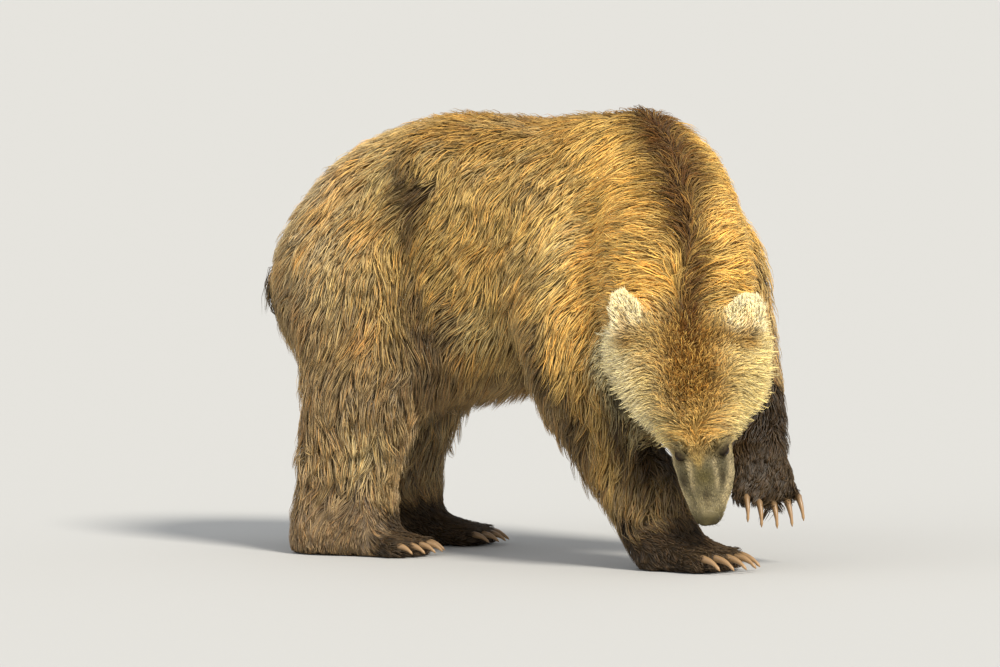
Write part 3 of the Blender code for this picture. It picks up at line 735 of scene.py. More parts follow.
# %% Adjust the coat by place
LENGTH, WIDTH, GATHER, HANG, RUFFLE, STRAY = (
    eased(values, 16) for values in (LENGTH, WIDTH, GATHER, HANG, RUFFLE, STRAY))
HANG = HANG + 0.35 * ramp(-outward[:, 2], 0.10, 0.70) * is_part("trunk", "upper_arm", "thigh")
STRAY = STRAY * (1 - ON_MUZZLE)
FREE = (ON_EAR > 0) | (CLAW_GAP < 0.034)
LENGTH *= (1 - 0.80 * ON_MUZZLE) * (1 - 0.25 * CHEEK) * (0.45 + 0.55 * ramp(eye_gap(outer), 0.02, 0.06))
LENGTH *= (1 + 0.7 * HEEL) * (1 - 0.22 * ON_CROWN)
WIDTH *= 1 - 0.55 * ON_MUZZLE
RUFFLE = RUFFLE + 0.45 * ON_CROWN + 0.15 * bump(LINE_GAP, 0.016)
CROWD = eased(CROWD, 4) * (1 + ON_MUZZLE)
CROWD *= 1 + 0.8 * bump(LINE_GAP, 0.02) * np.clip(PARTED + ON_CROWN, 0, 1)
CROWD *= ramp(eye_gap(outer), 0.0115, 0.0160) * (1 - is_part("nose") * ramp(-BACK, -0.034, -0.020)) + 1e-4
a, b, c = (skin[TRIANGLES[:, k]] for k in range(3))
LOCKS_WANTED = CROWD[TRIANGLES].mean(1) * 0.5 * np.linalg.norm(np.cross(b - a, c - a), axis=1)
print("locks wanted", int(LOCKS_WANTED.sum()))

# %% [markdown]
# ## The markings, one layer on another
#
# A grizzly isn't one brown. The barrel is a worn golden brown that turns to olive tan on the rump,
# neck and shoulders are orange gold with a dark parting, cheeks and ears are straw, the crown is
# brown, the muzzle is grey brown with a paler line on each side, and the legs and belly are dark and
# wet. Every patch is a soft mask on the form, and named colours are laid on one after another. Some
# layers are painted shade, in hollows and creases and where the head shades the hair behind it, and a
# few are painted light. Skin and coat use the same result, so where the coat thins nothing changes.

# %% Name the colours and the ways to mask them
def linear(red, green, blue):
    """A screen colour, 0 to 255, as the light it stands for."""
    return np.array([(c / 255) ** 2.2 for c in (red, green, blue)])


BROWN, OLIVE_TAN, GOLD = linear(191, 160, 98), linear(186, 163, 120), linear(236, 194, 108)
STRAW, EAR_CREAM, CROWN = linear(234, 212, 148), linear(246, 232, 188), linear(150, 106, 36)
# The mud brown and the dark wet brown are real mud and wet hair in some layers and painted shade in others.
# The darkest brown is the bare skin of lids, lips and nostrils, and also painted shade round the eyes and
# in the muzzle's hollows.
PARTING, WET_BROWN, MUD_AND_SHADE = linear(88, 56, 22), linear(146, 124, 95), linear(96, 79, 59)
DARK_WET_AND_SHADE, BRONZE, OLIVE_DARK = linear(56, 43, 25), linear(196, 140, 74), linear(108, 98, 62)
MUZZLE_GREY, MUZZLE_TAN, DARK_SKIN_AND_SHADE = linear(142, 131, 100), linear(212, 192, 148), linear(52, 40, 26)

X, Y, Z = outer.T
SIGHT = X * math.cos(VIEW_AZIMUTH) + Y * math.sin(VIEW_AZIMUTH)
RAGGED = Z + 0.045 * UNEVEN + 0.020 * SWIRL
SKULL = eased(ON_HEAD, 5)
OFF_SKULL = 1 - SKULL
HEAD_COAT = SKULL * (1 - ON_MUZZLE)


def lay(base, colour, mask):
    """This colour over the base, where the mask lets it through."""
    mask = np.clip(mask, 0, 1)[:, None]
    return base * (1 - mask) + colour * mask


def layered(base, layers):
    """The base with each pair of a colour and a mask laid over it in turn."""
    for colour, mask in layers:
        base = lay(base, colour, mask)
    return base


def oval(across, up, uneven=0.0):
    """1 in the middle of an oval and falling softly. Both distances are in its half widths."""
    return bump(np.hypot(across, up) + uneven * UNEVEN, 1.0)


print("colours for", len(X), "points, sight from", SIGHT.min().round(3), "to", SIGHT.max().round(3))

# %% [markdown]
# ## The barrel and the hump
#
# Sun and river wear the outer hair, so bronze and olive patches drift over the brown. Gold spreads
# from the parting over neck and shoulder. Two dark valleys of painted shade give the trunk its parts:
# one in the crease before the hip, and one beside the tail under the rump. A brighter gold in the
# crease between shoulder and neck is painted light. SIGHT is how far to the right a point lies as the
# camera sees it, and RAGGED is its height made uneven, so that no patch ends in a straight line.

# %% Mark the barrel
def barrel_layers():
    hip = X - np.interp(Z, [0.45, 0.62, 0.85, 0.93], [-0.200, -0.212, -0.232, -0.275]) + 0.012 * UNEVEN
    hip_share = np.interp(Z, [0.45, 0.52, 0.62, 0.68, 0.74, 0.80, 0.92, 1.00],
                          [0, 0.6, 0.6, 0.40, 0.45, 0.95, 0.90, 0])
    hip_pit = bump(hip - 0.018 + 0.012 * SWIRL, 0.030) * bump((Z - 0.855) / 0.11, 1.0)
    dock = np.hypot((SIGHT + 0.566) / 0.026, (Z - 0.600) / 0.058)
    return [
        (OLIVE_TAN, ramp(-X + 0.05 * UNEVEN, 0.22, 0.50) * ramp(RAGGED, 0.45, 0.62)),
        (BRONZE, 0.34 * ramp(UNEVEN - 0.5 * SWIRL, 0.15, 0.95)),
        (OLIVE_TAN, 0.40 * ramp(-UNEVEN - 0.5 * SWIRL, 0.15, 0.95)),
        (GOLD, 0.95 * eased(PARTED, 30) * ramp(RAGGED, 0.46, 0.68)),
        (GOLD, 0.50 * bump(np.hypot(X - 0.16, Z - 0.56), 0.13) * (Y < 0.05)),
        (GOLD, 0.30 * ramp(UNEVEN, 0.1, 0.9) * ramp(RAGGED, 0.60, 0.75)),
        # Painted shade in the crease before the hip, with a darker pit at its top.
        (MUD_AND_SHADE, hip_share * bump(hip + 0.016 * SWIRL, 0.036 + 0.008 * UNEVEN)),
        (DARK_WET_AND_SHADE, 0.75 * hip_pit * (Y < 0.12)),
        (CROWN, 0.45 * ramp(RAGGED, 0.93, 1.00) * between(X, -0.35, -0.20, 0.12, 0.23)),
        (STRAW, 0.45 * oval((X - 0.185) / 0.06, (Z - 0.75) / 0.14, 0.2) * (Y < 0.08)),
        # Painted light: a brighter gold in the shaded crease between shoulder and neck.
        (GOLD * 1.15, 0.70 * oval((SIGHT - 0.130) / 0.035, (Z - 0.600) / 0.105, 0.2) * (Y < 0)),
        # Painted shadow beside the tail, under the rump.
        (DARK_WET_AND_SHADE, 0.85 * bump(dock ** 2, 1.0) * ramp(-X, 0.575, 0.625)),
    ]


MARKS = layered(np.broadcast_to(BROWN, outer.shape), barrel_layers())
print("mean colour", MARKS.mean(0).round(3))

# %% [markdown]
# ## The wet legs and the belly
#
# The bear stands at the water, so its legs and belly are darker the lower they lie, down to muddy
# feet. The left hind leg is a paler olive between foot and thigh, painted light where the body shades
# it. The tail and the lifted foreleg are dark. The groin is painted shade, and so is a dark line up
# behind the right foreleg, along its shaded edge.

# %% Mark the legs and the belly
FORWARD = ramp(X, -0.05, 0.10)


def leg_layers():
    inner_hind = eased(is_part("hind_left_shank", "hind_left_thigh"), 12)
    lifted = eased(is_part("fore_left_forearm", "fore_left_paw"), 10)
    armpit = SIGHT - np.interp(Z, [0.28, 0.38, 0.49], [0.0980, 0.0850, 0.0200]) + 0.010 * UNEVEN
    wet = ramp(-RAGGED, -0.64 + 0.06 * FORWARD, -0.42 + 0.05 * FORWARD)
    return [
        # Painted shade in the groin, between hind leg and belly.
        (DARK_WET_AND_SHADE, 0.92 * oval((X + 0.180) / 0.060, (Z - 0.480) / 0.085, 0.2)),
        (WET_BROWN, (0.68 + 0.04 * FORWARD) * wet * OFF_SKULL),
        (BROWN, 0.60 * oval(X / 0.10, (Z - 0.51) / 0.09) * OFF_SKULL),
        (GOLD, 0.50 * oval((X - 0.235) / 0.065, (Z - 0.43) / 0.14) * (Y < 0)),
        # Painted light: the left hind leg made paler where the body shades it.
        (OLIVE_TAN, 0.85 * inner_hind * between(Z, 0.12, 0.22, 0.40, 0.52)),
        (BROWN, 0.45 * eased(is_part("fore_right_forearm"), 12) * ramp(X, 0.20, 0.30)),
        (OLIVE_TAN, 0.55 * oval((X + 0.335) / 0.07, (Z - 0.24) / 0.10) * (Y < 0.1)),
        (MUD_AND_SHADE, 0.85 * eased(is_part("forearm", "shank", "paw", "foot"), 22)
         * ramp(-RAGGED, -0.16 - 0.16 * FORWARD, 0.02)),
        (DARK_WET_AND_SHADE, 0.85 * eased(is_part("tail"), 3)),
        (DARK_WET_AND_SHADE, 0.92 * lifted * ramp(-RAGGED, -0.50, -0.36)),
        # Painted shade along the right foreleg's shaded edge, behind it.
        (DARK_WET_AND_SHADE, 0.72 * bump(armpit, 0.034) * between(Z, 0.20, 0.27, 0.47, 0.55) * (Y < 0.10)),
    ]


MARKS = layered(MARKS, leg_layers())
print("mean colour", MARKS.mean(0).round(3))

# %% [markdown]
# ## Worn patches, painted light and painted shade on the right flank
#
# Each patch is the size of a hand. The dark ones are painted shade in hollows and creases of the coat.
# The pale and gold ones are partly coat worn to its pale under-hair and partly painted light on the
# lit flank. Each is one row: how far along SIGHT and how high its middle lies, its half width and half
# height, its colour, and how much of that colour shows. The feet come last: dark, but for the heel of
# the right hind foot, which is a pale wet brown.

# %% Mark the patches and the heels
# Dark rows are painted shade in hollows; pale and gold rows are worn under-hair and painted light.
WORN_LIT_AND_SHADED = (
    (0.044, 0.720, 0.030, 0.050, MUD_AND_SHADE, 0.35),
    (0.010, 0.554, 0.026, 0.045, MUD_AND_SHADE, 0.45),
    (-0.095, 0.554, 0.042, 0.045, STRAW, 0.58),
    (-0.393, 0.582, 0.030, 0.032, MUD_AND_SHADE, 0.38),
    (-0.278, 0.639, 0.026, 0.034, MUD_AND_SHADE, 0.45),
    (-0.508, 0.524, 0.030, 0.030, MUD_AND_SHADE, 0.35),
    (-0.335, 0.904, 0.032, 0.050, STRAW, 0.35),
    (-0.375, 0.270, 0.060, 0.060, STRAW, 0.30),
    (0.258, 0.650, 0.045, 0.080, GOLD * 1.35, 0.65),
    (0.182, 0.270, 0.030, 0.055, GOLD, 0.45),
    (-0.410, 0.120, 0.080, 0.026, MUD_AND_SHADE, 0.50),
    (-0.245, 0.611, 0.024, 0.034, MUD_AND_SHADE, 0.45),
    (-0.205, 0.438, 0.042, 0.036, DARK_WET_AND_SHADE, 0.55),
    (0.040, 0.438, 0.024, 0.036, DARK_WET_AND_SHADE, 0.55),
    (-0.395, 0.095, 0.060, 0.034, DARK_WET_AND_SHADE, 0.62),
    (0.153, 0.640, 0.030, 0.130, GOLD * 1.3, 0.40),
    (0.157, 0.400, 0.026, 0.080, GOLD * 1.2, 0.40),
)


def patch_layers():
    heel = eased(is_part("hind_right_foot", "hind_right_shank"), 4)
    heel = heel * ramp(-X + 0.02 * UNEVEN, 0.315, 0.365)
    patches = [
        (colour, share * oval((SIGHT - along) / wide, (Z - rise) / high, 0.22) * (Y < 0.10) * OFF_SKULL)
        for along, rise, wide, high, colour, share in WORN_LIT_AND_SHADED
    ]
    return patches + [
        (DARK_WET_AND_SHADE, 0.93 * ramp(-Z, -0.158, -0.088) * OFF_SKULL * (1 - heel)),
        (WET_BROWN, 0.80 * heel * between(Z, 0.015, 0.050, 0.12, 0.20)),
    ]


MARKS = layered(MARKS, patch_layers())
print("mean colour", MARKS.mean(0).round(3))

# %% [markdown]
# ## The shade round the head
#
# The head's shadow is painted on the hair behind it, so that the pale head stands out: on the throat
# and chest under it, on the hair beside the muzzle, and on a band of the neck along the cheeks, a few
# fingers wide.

# %% Paint the head's shadow on the hair behind it
HEAD_BACK, HEAD_SIDE, HEAD_RISE = head_places(outer).T


def head_shadow_layers():
    back, left, top = HEAD_BACK, HEAD_SIDE, HEAD_RISE
    under = np.hypot((back - 0.26) / 0.165, left / 0.225)
    beside = np.linalg.norm(np.stack([back - np.clip(back, 0.02, 0.17), left, top + 0.02], 1), axis=1)
    right_rim = np.interp(back, FACE_BACK, np.subtract(FACE_HALF, RIGHT_IN))
    left_rim = np.interp(back, FACE_BACK, np.subtract(FACE_HALF, LEFT_IN))
    past_rim = np.maximum(np.abs(left) - 0.038 - np.where(left < 0, right_rim, left_rim), 0)
    past_rim = past_rim / np.interp(back, [0.15, 0.25, 0.33], [0.046, 0.030, 0.016])
    band = bump(past_rim ** 2, 1.0) * between(back, 0.10, 0.15, 0.32, 0.37) * ramp(-Z, -0.45, -0.40)
    # All three layers are painted shadow of the head.
    return [
        (DARK_WET_AND_SHADE, 0.85 * OFF_SKULL * bump(under ** 2, 1.0) * ramp(-top, 0.10, 0.16)
         * ramp(-Z, -0.43, -0.37)),
        (DARK_WET_AND_SHADE, 0.85 * OFF_SKULL * bump((beside / 0.115) ** 2, 1.0)),
        (DARK_WET_AND_SHADE, 0.92 * OFF_SKULL * band * ramp(-top, -0.05, 0.0)),
    ]


MARKS = layered(MARKS, head_shadow_layers())
print("mean colour", MARKS.mean(0).round(3))

# %% [markdown]
# ## Cheeks, crown and parting
#
# The cheeks are straw, and between them the brown of the crown ends in a golden brow. The dark
# parting runs along the line of the back from the crown to the rump, and a dark wedge beside it on
# the neck widens upwards. The parting's strength and width are given by stations of that line. The
# throat under the right cheek, that cheek's lower edge and a brown spot beside the left ear's root are
# painted shade.

# %% Mark the head and the line of the back
def head_layers():
    back, left, top = HEAD_BACK, HEAD_SIDE, HEAD_RISE
    cheek = ramp(np.abs(left) + 0.35 * np.abs(back - 0.29) + 0.012 * UNEVEN, 0.045, 0.120)
    throat = ramp(-top, 0.055, 0.095) * ramp(-left, 0.06, 0.10) * between(back, 0.15, 0.19, 0.33, 0.37)
    jaw_edge = ramp(-left - np.interp(back, FACE_BACK, FACE_HALF), -0.008, 0.006)
    jaw_edge = jaw_edge * between(back, 0.12, 0.17, 0.36, 0.40) * ramp(-top, -0.02, 0.03)
    strength = np.interp(LINE_ALONG, [0, 3, 5.5, 7, 10, 11, 13, 16],
                         [0.1, 0.35, 0.4, 0.90, 0.70, 0.75, 0.5, 0.0])
    reach = np.interp(LINE_ALONG, [0, 5, 7, 9, 11, 13, 16],
                      [0.03, 0.036, 0.055, 0.026, 0.022, 0.05, 0.05])
    wedge = SIGHT + 0.005 * UNEVEN - np.interp(Z, [0.60, 0.70, 0.81, 0.87, 0.93, 1.00],
                                               [0.362, 0.369, 0.360, 0.355, 0.341, 0.305])
    wedge = wedge / np.interp(Z, [0.60, 0.75, 0.81, 0.87, 0.93, 1.00],
                              [0.015, 0.018, 0.032, 0.048, 0.058, 0.052])
    return [
        (STRAW, HEAD_COAT * cheek),
        (EAR_CREAM, 0.60 * HEAD_COAT * ramp(-left + 0.02 * UNEVEN, 0.095, 0.160)),
        # Painted shade beside the left ear's root.
        (CROWN * 0.75, 0.75 * HEAD_COAT * oval((back - 0.420) / 0.026, (left - 0.080) / 0.060, 0.15)),
        # Painted shade on the throat under the right cheek and along that cheek's lower edge.
        (DARK_WET_AND_SHADE, 0.85 * SKULL * throat),
        (DARK_WET_AND_SHADE, 0.92 * SKULL * jaw_edge),
        (CROWN, 0.90 * HEAD_COAT * bump(left, 0.084 + 0.014 * UNEVEN) * ramp(back, 0.22, 0.31)),
        (PARTING, 0.35 * HEAD_COAT * oval((back - 0.400) / 0.050, left / 0.045)),
        (GOLD, 0.55 * HEAD_COAT * bump(left, 0.055 + 0.012 * UNEVEN) * bump(back - 0.200, 0.060)),
        (PARTING, strength * bump(LINE_GAP + 0.008 * UNEVEN, reach)),
        (PARTING, 0.86 * bump(wedge, 1.0) * ramp(Z, 0.50, 0.56) * ramp(-LINE_GAP, -0.17, -0.10)
         * (X > 0.15)),
    ]


MARKS = layered(MARKS, head_layers())
print("mean colour", MARKS.mean(0).round(3))

# %% [markdown]
# ## Ears, muzzle and eyes
#
# The ears are cream. The brown in each cup is partly darker hair and partly painted shade, and the
# brown in the crease at the root and beside the fold along the rim is painted shade. The muzzle has a
# pattern of its own: pale lines with flecks, dark hollows between them in painted shade, a gold wedge
# that comes down from the brow, and a dark tip. The rims of the eyes and the lips are nearly black,
# and a wider dark spot round each eye, reaching towards the brow, is the brow's painted shadow.

# %% Mark the ears, the muzzle and the eyes
def ear_layers():
    on_ear = eased(ON_EAR, 3)
    layers = [(EAR_CREAM, on_ear)]
    for side, _ in SIDES:
        up, across, out = ear_measures(outer, side)
        hollow = oval((up - 0.036) / 0.030, across / 0.022) * ramp(out, 0.002, 0.016)
        crease = oval((up - 0.004) / 0.016, across / 0.040) * ramp(out, -0.02, 0.01)
        fold = bump(across - 0.017, 0.003) * between(up, 0.015, 0.03, 0.07, 0.085) * ramp(out, 0.0, 0.01)
        # The cup's brown is partly darker hair and partly painted shade; the crease and the fold are
        # painted shade.
        layers += [
            (CROWN, 0.45 * hollow * (on_ear > 0.3)),
            (CROWN, 0.80 * crease),
            (BROWN, 0.6 * fold * (on_ear > 0.3)),
        ]
    return layers


def muzzle_layers():
    back = HEAD_BACK
    aside = HEAD_SIDE + drawn_in(outer) - np.interp(back, [0.0, 0.05, 0.15], [0.009, 0.005, 0.004])
    apart = np.abs(aside)
    fleck = 0.3 * CHANCE.standard_normal(len(outer))
    pit = np.clip(0.30 * back - 0.010, 0.003, 0.012)
    inner = bump(apart - 0.029, 0.0055) * between(back, 0.070, 0.090, 0.140, 0.158)
    edge = np.interp(back, [0.03, 0.06, 0.08, 0.11, 0.15], [0.036, 0.041, 0.051, 0.062, 0.066])
    rim = bump(apart - edge, 0.0065) * between(back, 0.03, 0.06, 0.150, 0.165)
    gold = bump(aside + 0.008, np.clip(0.40 * back - 0.046, 0.0005, 0.016)) * ramp(back, 0.118, 0.150)
    return [
        (MUZZLE_GREY, ON_MUZZLE),
        (OLIVE_DARK, ON_MUZZLE * 0.95 * bump(back - 0.112, 0.026) * bump(aside, 0.030)),
        # Painted shade in the grooves beside the bridge and in the furrow at its middle.
        (DARK_SKIN_AND_SHADE, ON_MUZZLE * 0.75 * oval((back - 0.105) / 0.022, (apart - 0.047) / 0.011)),
        (DARK_SKIN_AND_SHADE, ON_MUZZLE * 0.75 * oval((back - 0.066) / 0.017, aside / pit)),
        (MUZZLE_TAN, ON_MUZZLE * (0.85 * inner + rim) * (0.85 + fleck)),
        (MUZZLE_TAN, ON_MUZZLE * 0.22 * bump(back - 0.046, 0.018) * bump(aside, 0.05) * (1 + fleck)),
        (GOLD * 0.75, ON_MUZZLE * 0.70 * gold),
        (OLIVE_DARK * 0.8, ON_MUZZLE * 0.80 * ramp(-back, -0.044, -0.014)),
    ]


def eye_layers():
    before_eye = eye_gap(outer + np.array(MUZZLE_WAY) * 0.010)
    return [
        # Painted shadow of the brow, round each eye and reaching towards the brow.
        (DARK_SKIN_AND_SHADE, 0.60 * bump(before_eye, 0.028)),
        (DARK_SKIN_AND_SHADE, 0.95 * bump(eye_gap(outer), 0.0195)),
        (DARK_SKIN_AND_SHADE, 0.8 * bump(mouth_gap(outer), 0.006) * SKULL),
    ]


MARKS = layered(MARKS, ear_layers() + muzzle_layers() + eye_layers())
WET = eased(np.maximum(GATHER - 0.45, 0) / 0.4, 10)
print("mean colour", MARKS.mean(0).round(3))

# %% [markdown]
# ## Writing shader maths as plain sums
#
# A material is a graph of nodes, but a sum of nodes reads badly. This small class wraps one socket,
# so that `mask * 0.4 + 0.6` adds the Math nodes by itself. Any other node comes from one method, which
# sets the node's own settings first and its sockets after.

# %% A socket that can be added and multiplied
class Wire:
    """One output socket of a node tree, with the sums that this notebook needs."""

    def __init__(self, tree, socket):
        self.tree, self.socket = tree, socket

    def math(self, kind, first, second=None):
        return node(self.tree, "ShaderNodeMath", {"operation": kind}, {0: first, 1: second})

    def __add__(self, other):
        return self.math("ADD", self, other)

    def __sub__(self, other):
        return self.math("SUBTRACT", self, other)

    def __rsub__(self, other):
        return self.math("SUBTRACT", other, self)

    def __mul__(self, other):
        return self.math("MULTIPLY", self, other)

    def __pow__(self, other):
        return self.math("POWER", self, other)

    __radd__, __rmul__ = __add__, __mul__


def node(tree, kind, settings=None, inputs=None, output=0):
    """A new node: its settings, then the values or wires of its sockets, and one output."""
    made = tree.nodes.new(kind)
    for key, value in (settings or {}).items():
        setattr(made, key, value)
    for key, value in (inputs or {}).items():
        if isinstance(value, Wire):
            tree.links.new(value.socket, made.inputs[key])
        elif value is not None:
            made.inputs[key].default_value = value
    return Wire(tree, made.outputs[output])


def mix(tree, factor, first, second, kind="MIX"):
    """Two colours mixed. Sockets 6 and 7 of this node are its colours."""
    return node(tree, "ShaderNodeMix", {"data_type": "RGBA", "blend_type": kind},
                {0: factor, 6: first, 7: second}, 2)


def surface(name, **fixed):
    """A new material, its tree, and its shader with the values that are the same everywhere."""
    made = bpy.data.materials.new(name)
    made.use_nodes = True
    shader = made.node_tree.nodes["Principled BSDF"]
    for key, value in fixed.items():
        shader.inputs[key.replace("_", " ")].default_value = value
    return made, made.node_tree, shader


def feed(wire, shader, socket):
    """Links a wire to one of the shader's sockets."""
    wire.tree.links.new(wire.socket, shader.inputs[socket])


def noise(tree, place, scale, detail=3.0, rough=0.55):
    """A cloudy value from 0 to 1, with this many clouds to a metre."""
    return node(tree, "ShaderNodeTexNoise", {}, {"Vector": place, "Scale": scale,
                "Detail": detail, "Roughness": rough})


def attribute(tree, name, output):
    """A named value that is kept on the mesh."""
    return node(tree, "ShaderNodeAttribute", {"attribute_name": name}, {}, output)


# %% [markdown]
# ## What the coat and the skin are made of
#
# One recipe colours both. It takes the marking at each place, breaks it up with a slow noise for
# worn and sun-bleached patches, darkens it towards the roots and lightens it towards the tips, as
# each hair of a grizzly is dark below and blond at its end. Each lock carries its own random shade.
# Wet hair is darker and shinier, so the wetness lowers the roughness.

# %% Make the coat's and the skin's material
def hairy(name, shine=0.25, on_skin=False):
    """The coat's material, or the skin's, which stands in for the short hair on it."""
    made, tree, shader = surface(name, IOR=1.5, Specular_IOR_Level=shine)
    place = node(tree, "ShaderNodeTexCoord", {}, {}, "Object")
    marking = attribute(tree, "marking", "Color")
    patches, worn = noise(tree, place, 9.0, 4.0), noise(tree, place, 5.0, 3.0)
    if on_skin:
        strands, specks = noise(tree, place, 90.0, 2.0), noise(tree, place, 320.0, 2.0)
        light = patches * 0.5 + strands * 0.5 + specks * 0.9 - 0.32
        warm = worn * 0.8 + 0.1
        feed(light * 0.3 + 0.6, shader, "Roughness")
        dents = node(tree, "ShaderNodeBump", {}, {"Strength": 0.5, "Distance": 0.002,
                     "Height": strands})
        feed(dents, shader, "Normal")
    else:
        lock = node(tree, "ShaderNodeSeparateXYZ", {}, {0: attribute(tree, "lock", "Vector")})
        along, shade, wet = (Wire(tree, out) for out in lock.socket.node.outputs)
        tip = along ** 1.4
        warm = worn * 0.8 + shade * 0.6 - 0.2
        light = (tip * 1.05 + 0.60) * (patches * 0.8 + 0.58) * (shade * 0.70 + 0.65)
        feed(0.62 - wet * 0.22, shader, "Roughness")
    bleach = node(tree, "ShaderNodeCombineXYZ", {},
                  {0: light * (warm * 0.10 + 0.95), 1: light, 2: light * (1.22 - warm * 0.44)})
    feed(mix(tree, 1.0, marking, bleach, "MULTIPLY"), shader, "Base Color")
    return made


coat_finish, wet_finish = hairy("coat"), hairy("wet_coat", shine=0.42)
skin_finish = hairy("short_coat", shine=0.15, on_skin=True)
print("materials", coat_finish.name, skin_finish.name)

# %% [markdown]
# ## The skin as one piece
#
# The eased form is now a mesh object. It replaces every flesh solid but the nose, so none of their
# seams shows. Its own shape is unwrapped into flat islands, and that map is kept: each lock of the
# coat takes the place of its root on it, so one unwrap serves skin and coat.

# %% Build the skin and unwrap it
def give(mesh, name, kind, values):
    """A named value at every point of a mesh."""
    layer = mesh.attributes.new(name, kind, "POINT")
    key = "color" if kind == "FLOAT_COLOR" else "vector" if kind == "FLOAT_VECTOR" else "value"
    layer.data.foreach_set(key, np.ascontiguousarray(values, np.float32).ravel())


def four(colours):
    """Colours with a fourth value, which Blender's colour layers ask for."""
    return np.concatenate([colours, np.ones((len(colours), 1))], 1)


def build_skin():
    """The skin's piece. It gives back where each face's corners lie on the flat map."""
    obj = mesh_piece("skin", skin.tolist(), body_faces)
    mesh = obj.data
    mesh.shade_smooth()
    give(mesh, "marking", "FLOAT_COLOR", four(MARKS))
    mesh.materials.append(skin_finish)
    bpy.context.view_layer.objects.active = obj
    obj.select_set(True)
    mesh.uv_layers.new(name="OFBake")
    bpy.ops.object.mode_set(mode="EDIT")
    bpy.ops.mesh.select_all(action="SELECT")
    bpy.ops.uv.smart_project(angle_limit=math.radians(72), island_margin=0.001)
    bpy.ops.object.mode_set(mode="OBJECT")
    obj.select_set(False)
    flat = np.empty(len(mesh.loops) * 2, np.float32)
    mesh.uv_layers["OFBake"].data.foreach_get("uv", flat)
    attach(obj, "root")
    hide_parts(*[n for n in FLESH if n != "nose"])
    return flat.reshape(-1, 2)


SKIN_FLAT = build_skin()
LOOP_START = np.cumsum([0] + [len(f) for f in body_faces[:-1]])
TRI_LOOPS = np.array([[s, s + k, s + k + 1] for s, f in zip(LOOP_START.tolist(), body_faces)
                      for k in range(1, len(f) - 1)])
print("unwrap spans", SKIN_FLAT.min(0).round(3), SKIN_FLAT.max(0).round(3))

# %% [markdown]
# ## Where the locks are rooted
#
# Particle hair would be lost in an export, so every lock is solid mesh. Roots are dealt out over the
# triangles in step with their area and the coat's crowd there. Each step has its own small chance
# shift, which spreads them evenly without a pattern.

# %% Deal out the roots
MOST_LOCKS = 125000


def deal_roots(wanted, most):
    """The triangle that each lock grows on, and its place there as shares of the three corners."""
    share = np.cumsum(wanted)
    count = int(min(most, share[-1]))
    at = (np.arange(count) + CHANCE.random(count)) * share[-1] / count
    tri = np.minimum(np.searchsorted(share, at), len(wanted) - 1)
    u, v = np.sqrt(CHANCE.random(count)), CHANCE.random(count)
    return tri, np.stack([1 - u, u * (1 - v), u * v], 1)


ROOT_TRI, ROOT_SHARE = deal_roots(LOCKS_WANTED, MOST_LOCKS)
ROOTS = np.einsum("ij,ijk->ik", ROOT_SHARE, skin[TRIANGLES[ROOT_TRI]])
ROOT_FLAT = np.einsum("ij,ijk->ik", ROOT_SHARE, SKIN_FLAT[TRI_LOOPS[ROOT_TRI]])
ROOT_NEAR = TRIANGLES[ROOT_TRI][np.arange(len(ROOT_TRI)), ROOT_SHARE.argmax(1)]
print("locks", len(ROOTS))

# %% [markdown]
# ## Combing a lock over the body
#
# A straight spike would stand off a round leg. So each lock is combed: its spine walks over the skin
# in short steps along the current of the coat, and rises as it goes, until its tip reaches the
# outline of the solids. A slow swirl bends neighbours alike, a small chance turn parts them, and a
# share of each lock's path is drawn to that of the nearest guide lock, which gathers wet hair in
# points. The steps say how far along a lock each of its four places lies, and the rises how far up
# through the coat.

# %% Comb the spines of the locks
SKIN_TREE = KDTree(len(skin))
for k, place in enumerate(skin.tolist()):
    SKIN_TREE.insert(place, k)
SKIN_TREE.balance()
STEPS = (0.0, 0.36, 0.70, 1.0)
RISES = (-0.06, 0.58, 0.90, 1.0)
LOCKS_TO_A_GUIDE, GUIDE_REACH = 12, 0.035


def nearest_points(places):
    """The number of the skin's nearest point for each place."""
    return np.array([SKIN_TREE.find(p)[1] for p in places.tolist()])


def combed():
    """The places of each lock's spine, and the surface normal at each."""
    count = len(ROOTS)
    length = LENGTH[ROOT_NEAR] * CHANCE.uniform(0.70, 1.25, count) * (1 + 0.25 * UNEVEN[ROOT_NEAR])
    stand = CHANCE.random(count) ** 2.2
    reach = 0.62 + 0.42 * stand + CHANCE.uniform(-0.06, 0.06, count)
    length = length * (1 - 0.30 * stand)
    reach = reach + STRAY[ROOT_NEAR] * CHANCE.random(count) ** 6
    free = FREE[ROOT_NEAR]
    turn = CHANCE.normal(0, 1, count) * RUFFLE[ROOT_NEAR]
    wave = CHANCE.uniform(0, math.tau, count)
    near, ground = ROOT_NEAR.copy(), ROOTS.copy()
    spine, normals = [], []
    for k, (t, rise) in enumerate(zip(STEPS, RISES)):
        if k:
            normal, way = outward[near], LIE[near]
            angle = turn + 0.42 * SWIRL[near] + 0.16 * np.sin(wave + 5.0 * t)
            aside = np.cross(normal, way)
            way = way * np.cos(angle)[:, None] + aside * np.sin(angle)[:, None]
            ground = ground + way * (length * (t - STEPS[k - 1]))[:, None]
            near = np.where(free, ROOT_NEAR, nearest_points(ground))
            off = ((ground - skin[near]) * outward[near]).sum(1)
            ground = ground - outward[near] * off[:, None]
        lift = DEPTH[near] * rise * (reach if k else 1.0)
        place = ground + outward[near] * lift[:, None]
        place[:, 2] -= HANG[ROOT_NEAR] * length * t * t
        spine.append(place)
        normals.append(outward[near])
    return np.stack(spine, 1), np.stack(normals, 1)


